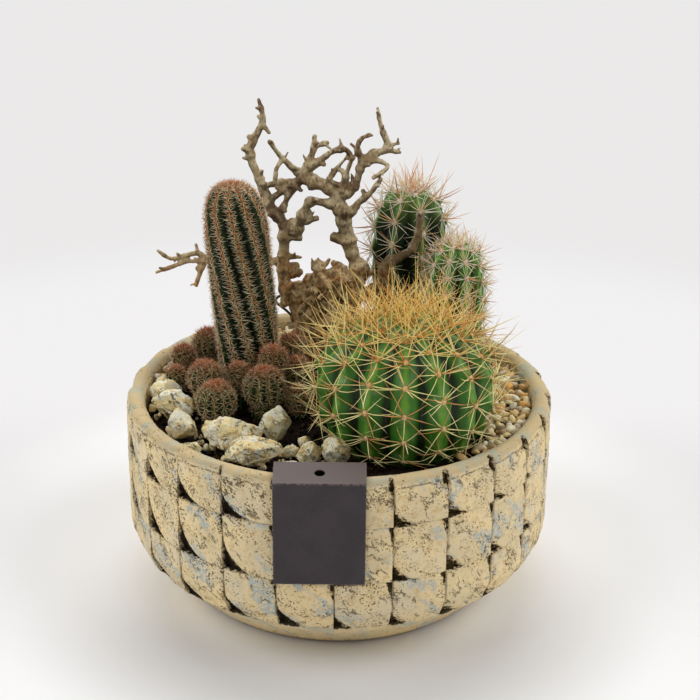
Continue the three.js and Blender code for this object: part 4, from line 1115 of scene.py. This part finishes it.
def add_strand(shell, draw, centre, radius):
    """A gnarled strand that bends round a lump."""
    axis = unit(draw.normal(size=3))
    first = unit(np.cross(axis, draw.normal(size=3)))
    turns = draw.uniform(0, TAU) + np.linspace(0, draw.uniform(1.2, 2.6), 5)
    ring = np.outer(np.cos(turns), first) + np.outer(np.sin(turns), np.cross(axis, first))
    path = smooth_curve(centre + ring * radius + draw.normal(0, 0.07 * radius, (5, 3)), 5)
    thick = radius * draw.uniform(0.12, 0.26)
    add_tube(shell, path, thick * (1 + 0.3 * wander(path, 4)), 8)


def add_root(shell, draw, turn):
    """A thick gnarled root that climbs the foot and ends in a broken tip."""
    leftward = np.clip(-math.cos(turn), 0, 1)
    heights = np.linspace(91, draw.uniform(128, 153) - 17 * leftward, 6)
    turns = turn + np.linspace(0, draw.uniform(-1.7, 1.7), 6) + draw.normal(0, 0.16, 6)
    across = np.interp(heights, [92, 112, 124, 142, 152], [11, 10.5, 14, 18.5, 16])
    deep = np.interp(heights, [92, 112, 124, 142, 152], [7.5, 10, 11.5, 9, 7.5])
    middle = np.interp(heights, [92, 112, 142], [WOOD_X + 2, WOOD_X + 1, WOOD_X])
    points = np.stack([middle + across * np.cos(turns), WOOD_Y + deep * np.sin(turns), heights], -1)
    path = smooth_curve(points + draw.normal(0, 1.1, (6, 3)), 6)
    thick = draw.uniform(2.6, 4.6) * (1 + 0.3 * wander(path, 7))
    taper = np.interp(np.linspace(0, 1, len(path)), [0, 0.8, 1], [1.1, 0.8, draw.uniform(0.12, 0.55)])
    add_tube(shell, path, np.maximum(thick * taper, 0.6), 12)


def add_limb(shell, draw, start, end, points):
    """A limb whose thickness wanders, with a few knots and broken twigs."""
    path = smooth_curve(points, 8)
    run = run_along(path)
    line = np.stack([run, np.full(len(run), draw.uniform(0, 900)), np.zeros(len(run))], -1)
    radii = np.linspace(start, end, len(path)) * (0.9 + 0.2 * wander(line, 11) + 0.1 * wander(line, 4))
    for knot in np.arange(draw.uniform(2, 9), run[-1] - 1, 10):
        place = knot + draw.uniform(-3, 3)
        growth = draw.uniform(0.15, 0.5)
        radii = radii * (1 + growth * np.exp(-(((run - place) / draw.uniform(1.2, 2.2)) ** 2)))
        step = int(np.clip(np.searchsorted(run, place), 1, len(path) - 2))
        add_stub(shell, draw, path[step], unit(path[step + 1] - path[step - 1]), radii[step])
    bent = path + 0.35 * wander_aside(path, 6, 1, 50.0)
    add_tube(shell, bent, np.maximum(radii * 0.93, 0.6), 10)


def wood_cores():
    """Limbs, lumps, roots and twigs that overlap."""
    draw = np.random.default_rng(21)
    shell = Shell()
    ball, ball_faces = sphere_pattern(3)
    for start, end, points in LIMBS:
        add_limb(shell, draw, start, end, points)
    for x, y, z, radius in LUMPS:
        middle = np.array([x, y, z])
        swell = draw.uniform(0.84, 1.16, (len(ball), 1))
        shell.add(middle + ball * (radius * (0.88 if radius < 8 else 0.76)) * swell, [ball_faces])
        for _ in range(0 if x < -12 and z > 130 else int(radius * 0.7)):
            side = unit(draw.normal(size=3) * [1, 1, 0.8])
            add_stub(shell, draw, middle + side * radius * 0.9, unit(np.cross(side, UP)), 2.2)
            add_strand(shell, draw, middle, radius * draw.uniform(0.8, 0.95))
    for root in range(ROOTS):
        add_root(shell, draw, root * TAU / ROOTS)
    for _ in range(FOOT_STUBS):
        turn = draw.uniform(0, TAU)
        height = draw.uniform(104, 148 - 20 * np.clip(-math.cos(turn), 0, 1))
        reach = np.interp(height, [104, 124, 142, 150], [11, 15, 18, 15])
        middle = [WOOD_X + reach * math.cos(turn), WOOD_Y + 0.65 * reach * math.sin(turn), height]
        outward = np.array([math.cos(turn), math.sin(turn), 0.0])
        across = unit(np.cross(outward, draw.normal(size=3)))
        add_stub(shell, draw, np.array(middle), across, draw.uniform(3, 5.5))
    turns = circle(28)
    foot = [around(turns, 1, height) * [13, 8.5, 1] + [WOOD_X + 2, WOOD_Y, 0] for height in (92.3, 98, 104)]
    closed_rings(shell, np.array(foot), [WOOD_X + 2, WOOD_Y, 92.3], [WOOD_X + 2, WOOD_Y, 104])
    return shell.data("wood_cores", [])


def driftwood(material):
    """The cores fused to one skin, with strands and furrows of bark on the foot."""
    rough = link("wood_cores", wood_cores())
    fuse = rough.modifiers.new("fuse", "REMESH")
    fuse.mode = "VOXEL"
    fuse.voxel_size = WOOD_VOXEL * MM
    graph = bpy.context.evaluated_depsgraph_get()
    mesh = bpy.data.meshes.new_from_object(rough.evaluated_get(graph))
    bpy.data.objects.remove(rough)
    points = np.empty(len(mesh.vertices) * 3)
    normals = np.empty(len(mesh.vertices) * 3)
    mesh.vertices.foreach_get("co", points)
    mesh.vertices.foreach_get("normal", normals)
    points = points.reshape(-1, 3) / MM
    normals = normals.reshape(-1, 3)
    thick = np.clip((158 - points[:, 2]) / 14, 0, 1) * np.clip((points[:, 0] + 40) / 8, 0, 1)
    strands = points * [1, 1, 0.45] + 2.2 * wander(points, 9, 2, 5.0)[:, None]
    ridges = np.abs(wander(strands, 6, 2, 3.0))
    bark = 0.3 * wander(points, 5, 2) + 0.2 * wander(points, 2.2, 2)
    bark = bark + thick * (0.5 * wander(points, 6, 2, 9.0) + 0.2 - 1.3 * np.clip(0.26 - ridges, 0, 1))
    points = points + normals * bark[:, None]
    mesh.vertices.foreach_set("co", (points * MM).ravel())
    # Marks for the material's painted shade: furrow where the bark sinks into furrows, rise for how far each
    # point faces up.
    set_mark(mesh, "furrow", thick * np.clip(1 - ridges / 0.16, 0, 1))
    set_mark(mesh, "rise", normals[:, 2])
    mesh.polygons.foreach_set("use_smooth", np.full(len(mesh.polygons), True))
    mesh.materials.append(material)
    mesh.update()
    put("driftwood_weathered", mesh, "driftwood", "driftwood")


def weathered_wood():
    """Smooth tan bark, darker towards the bottom, with brown patches and rusty spots; painted shade on the
    undersides, in the furrows and in the holes, and painted light on the foot.
    """
    paint = Paint("weathered_wood")
    x, y, z = paint.apart()
    patch = paint.noise(9, 4)
    grain = paint.noise(1.5, 5, paint.scaled(1, 1, 0.5), rough=0.68)
    hole = paint.noise(2.6, 4, rough=0.6).band(0.64, 0.72)
    front = x.band(8, 16) * y.band(46, 42.5) * z.band(194, 188)
    rust = paint.noise(6, 4).band(0.54, 0.62) * z.band(158, 148)
    paint.colour = paint.mix(patch.band(0.4, 0.6), (218, 200, 160), (172, 148, 110))
    paint.coat(paint.noise(15, 5, rough=0.6).band(0.5, 0.6) * 0.75, (110, 82, 56))
    paint.coat(paint.noise(3.4, 4).band(0.54, 0.66) * 0.55, (234, 220, 186))
    # Painted shade: surfaces that face down are darkened.
    paint.coat(((patch - 0.5) * 1.2 + paint.mark("rise")).band(0.3, -0.5) * 0.72, (66, 50, 36))
    # Painted light: the foot, which lies in the shade of the limbs above, is painted paler.
    paint.coat(z.band(165, 145) * 0.5, (232, 192, 132))
    paint.coat(z.band(122, 98) * 0.55, (54, 36, 24))
    paint.coat(front * 0.45, (44, 32, 22))
    paint.coat(rust * 0.6, (196, 130, 66))
    paint.coat(grain.band(0.5, 0.62) * 0.6, (76, 58, 40))
    # Painted shade: black in the furrows and in the holes.
    paint.coat((paint.mark("furrow") * 0.85).larger(hole * 0.8), (36, 26, 20))
    return paint.finish(0.8, hole * -0.8 + grain, 0.6, 0.25)


# Wire pin and label card

CARD_MIDDLE = -7.75
CARD_WIDTH = 42.5
CARD_BOTTOM = 52.0
CARD_FOLD = 104.2
CARD_ROUNDING = 0.14
PIN_RADIUS = 0.75
PIN_POINTS = [
    [-25, 85, 80], [-25, 84, 98], [-27, 72, 115], [-28, 61, 127], [-32, 58, 131], [-36, 61, 127],
    [-29, 72, 115], [-20, 84, 98], [-20, 85, 80],
]


def wire_pin():
    paint = Paint("black_wire")
    paint.colour = paint.mix(paint.noise(3, 4).band(0.5, 0.7), (26, 24, 22), (52, 46, 40))
    material = paint.finish(0.45, paint.noise(1.5, 3), 0.06, 0.5)
    shell = Shell()
    path = smooth_curve(PIN_POINTS, 10)
    add_tube(shell, path, np.full(len(path), PIN_RADIUS), 12)
    put("wire_pin_drawn", shell.data("wire_pin_drawn", [material]), "wire", "wire_pin")


def card_paper():
    """Dark paper board with a fine grain, rubbed pale along its edges and its fold, and a painted highlight
    on the band above the fold.
    """
    paint = Paint("dark_card")
    x, _, z = paint.apart()
    from_side = abs(x - CARD_MIDDLE) * -1 + CARD_WIDTH / 2
    edge = from_side.smaller(z - CARD_BOTTOM).smaller(abs(z - CARD_FOLD)).band(0.7, 0.1)
    fibre = paint.noise(0.45, 3, rough=0.7)
    paint.colour = paint.mix(paint.noise(14, 3).band(0.35, 0.65), (44, 35, 38), (52, 42, 45))
    paint.coat(fibre.band(0.5, 0.7) * 0.35, (84, 72, 74))
    # Painted highlight: the band above the fold, which faces the lamp above, is painted paler.
    paint.coat(z.band(CARD_FOLD, CARD_FOLD + 0.6) * 0.6, (116, 102, 98))
    paint.coat(edge * paint.noise(1.2, 4, rough=0.7).band(0.42, 0.6) * 0.6, (142, 122, 112))
    return paint.finish(0.55, fibre, 0.06, 0.5)


def label_card():
    """The CAD card with its edges and folds softened."""
    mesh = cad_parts["label_card"].data.copy()
    sheet = bmesh.new()
    sheet.from_mesh(mesh)
    bmesh.ops.remove_doubles(sheet, verts=sheet.verts, dist=0.01 * MM)
    bmesh.ops.dissolve_limit(sheet, angle_limit=3 * DEG, verts=sheet.verts, edges=sheet.edges)
    sharp = [edge for edge in sheet.edges if edge.is_manifold and edge.calc_face_angle() > 15 * DEG]
    bmesh.ops.bevel(sheet, geom=sharp, offset=CARD_ROUNDING * MM, segments=2, profile=0.5, affect="EDGES")
    bmesh.ops.triangulate(sheet, faces=sheet.faces)
    sheet.to_mesh(mesh)
    sheet.free()
    mesh.materials.clear()
    mesh.materials.append(card_paper())
    put("label_card_folded", mesh, "card", "label_card")


# Studio

FLOOR_HALF = 40000
SKY_STRENGTH = 0.33
# Name, direction towards the lamp, softness in degrees and strength
LAMPS = [
    ["overhead", (-0.05, 0.85, 1.0), 50, 1.3],
    ["left_box", (-0.95, -0.14, 0.8), 40, 1.1],
    ["right_box", (0.95, -0.08, 0.8), 40, 1.2],
]
LOOKING_DOWN = 22.8 * DEG
ROLL = 0.61 * DEG
EYE_PLACE = (5.4, -683.1, 410.3)
LENS_LENGTH = 74.1


def studio():
    paint = Paint("pale_floor")
    _, y, _ = paint.apart()
    away = paint.make("VectorMath", {0: paint.place}, output=1, operation="LENGTH")
    # Painted light: the floor is painted brighter near the bowl and darker far away, standing in for the
    # fall of light.
    paint.colour = paint.mix(away.band(180, 255), (246, 246, 247), (233, 232, 233))
    paint.coat(away.band(440, 600), (226, 225, 225))
    # Painted shadow: a darker patch on the floor in front of the bowl.
    paint.coat(y.band(-40, -140) * away.band(190, 112), (214, 213, 212))
    shell = Shell()
    corners = np.array([[-1, -1, 0], [1, -1, 0], [1, 1, 0], [-1, 1, 0]])
    shell.add(corners * FLOOR_HALF, [[[0, 1, 2, 3]]])
    floor = link("floor", shell.data("floor", [paint.finish(0.85, specular=0.05)]))
    world = bpy.data.worlds.new("studio")
    bpy.context.scene.world = world
    world.use_nodes = True
    sky = world.node_tree.nodes["Background"]
    sky.inputs["Color"].default_value = srgb(248, 247, 246)
    sky.inputs["Strength"].default_value = SKY_STRENGTH
    for name, toward, softness, strength in LAMPS:
        lamp = bpy.data.lights.new(name, "SUN")
        lamp.angle = softness * DEG
        lamp.energy = strength
        light = link(name, lamp)
        light.rotation_mode = "QUATERNION"
        light.rotation_quaternion = Vector(toward).to_track_quat("Z", "Y")
    bpy.context.scene.view_settings.view_transform = "Standard"


def camera():
    """The photograph's view, with its slight roll."""
    ahead = Vector((0, math.cos(LOOKING_DOWN), -math.sin(LOOKING_DOWN)))
    level_right = Vector((1, 0, 0))
    level_up = level_right.cross(ahead)
    right = level_right * math.cos(ROLL) + level_up * math.sin(ROLL)
    up = level_up * math.cos(ROLL) - level_right * math.sin(ROLL)
    lens = bpy.data.cameras.new("camera")
    lens.sensor_width = 36
    lens.lens = LENS_LENGTH
    lens.clip_end = 100
    eye = link("camera", lens)
    turn = Matrix([right, up, -ahead]).transposed().to_4x4()
    eye.matrix_world = Matrix.Translation(Vector(EYE_PLACE) * MM) @ turn
    bpy.context.scene.camera = eye


camera()
studio()
put("bowl_cast", bowl_mesh(cement()), "cement", "bowl")
rock = veined_stone()
put("soil_crumbs", soil_mesh([compost(), rock]), "compost", "soil")
put("gravel_grains", gravel_mesh(grit()), "gravel", "gravel")
for stone in range(STONES):
    node = f"stone_{stone + 1:02d}"
    put(node + "_rock", stone_mesh(node, stone, rock), "pale_stone", node)
barrel_cactus()
column_cactus()
offset_cacti()
back_cacti()
driftwood(weathered_wood())
wire_pin()
label_card()
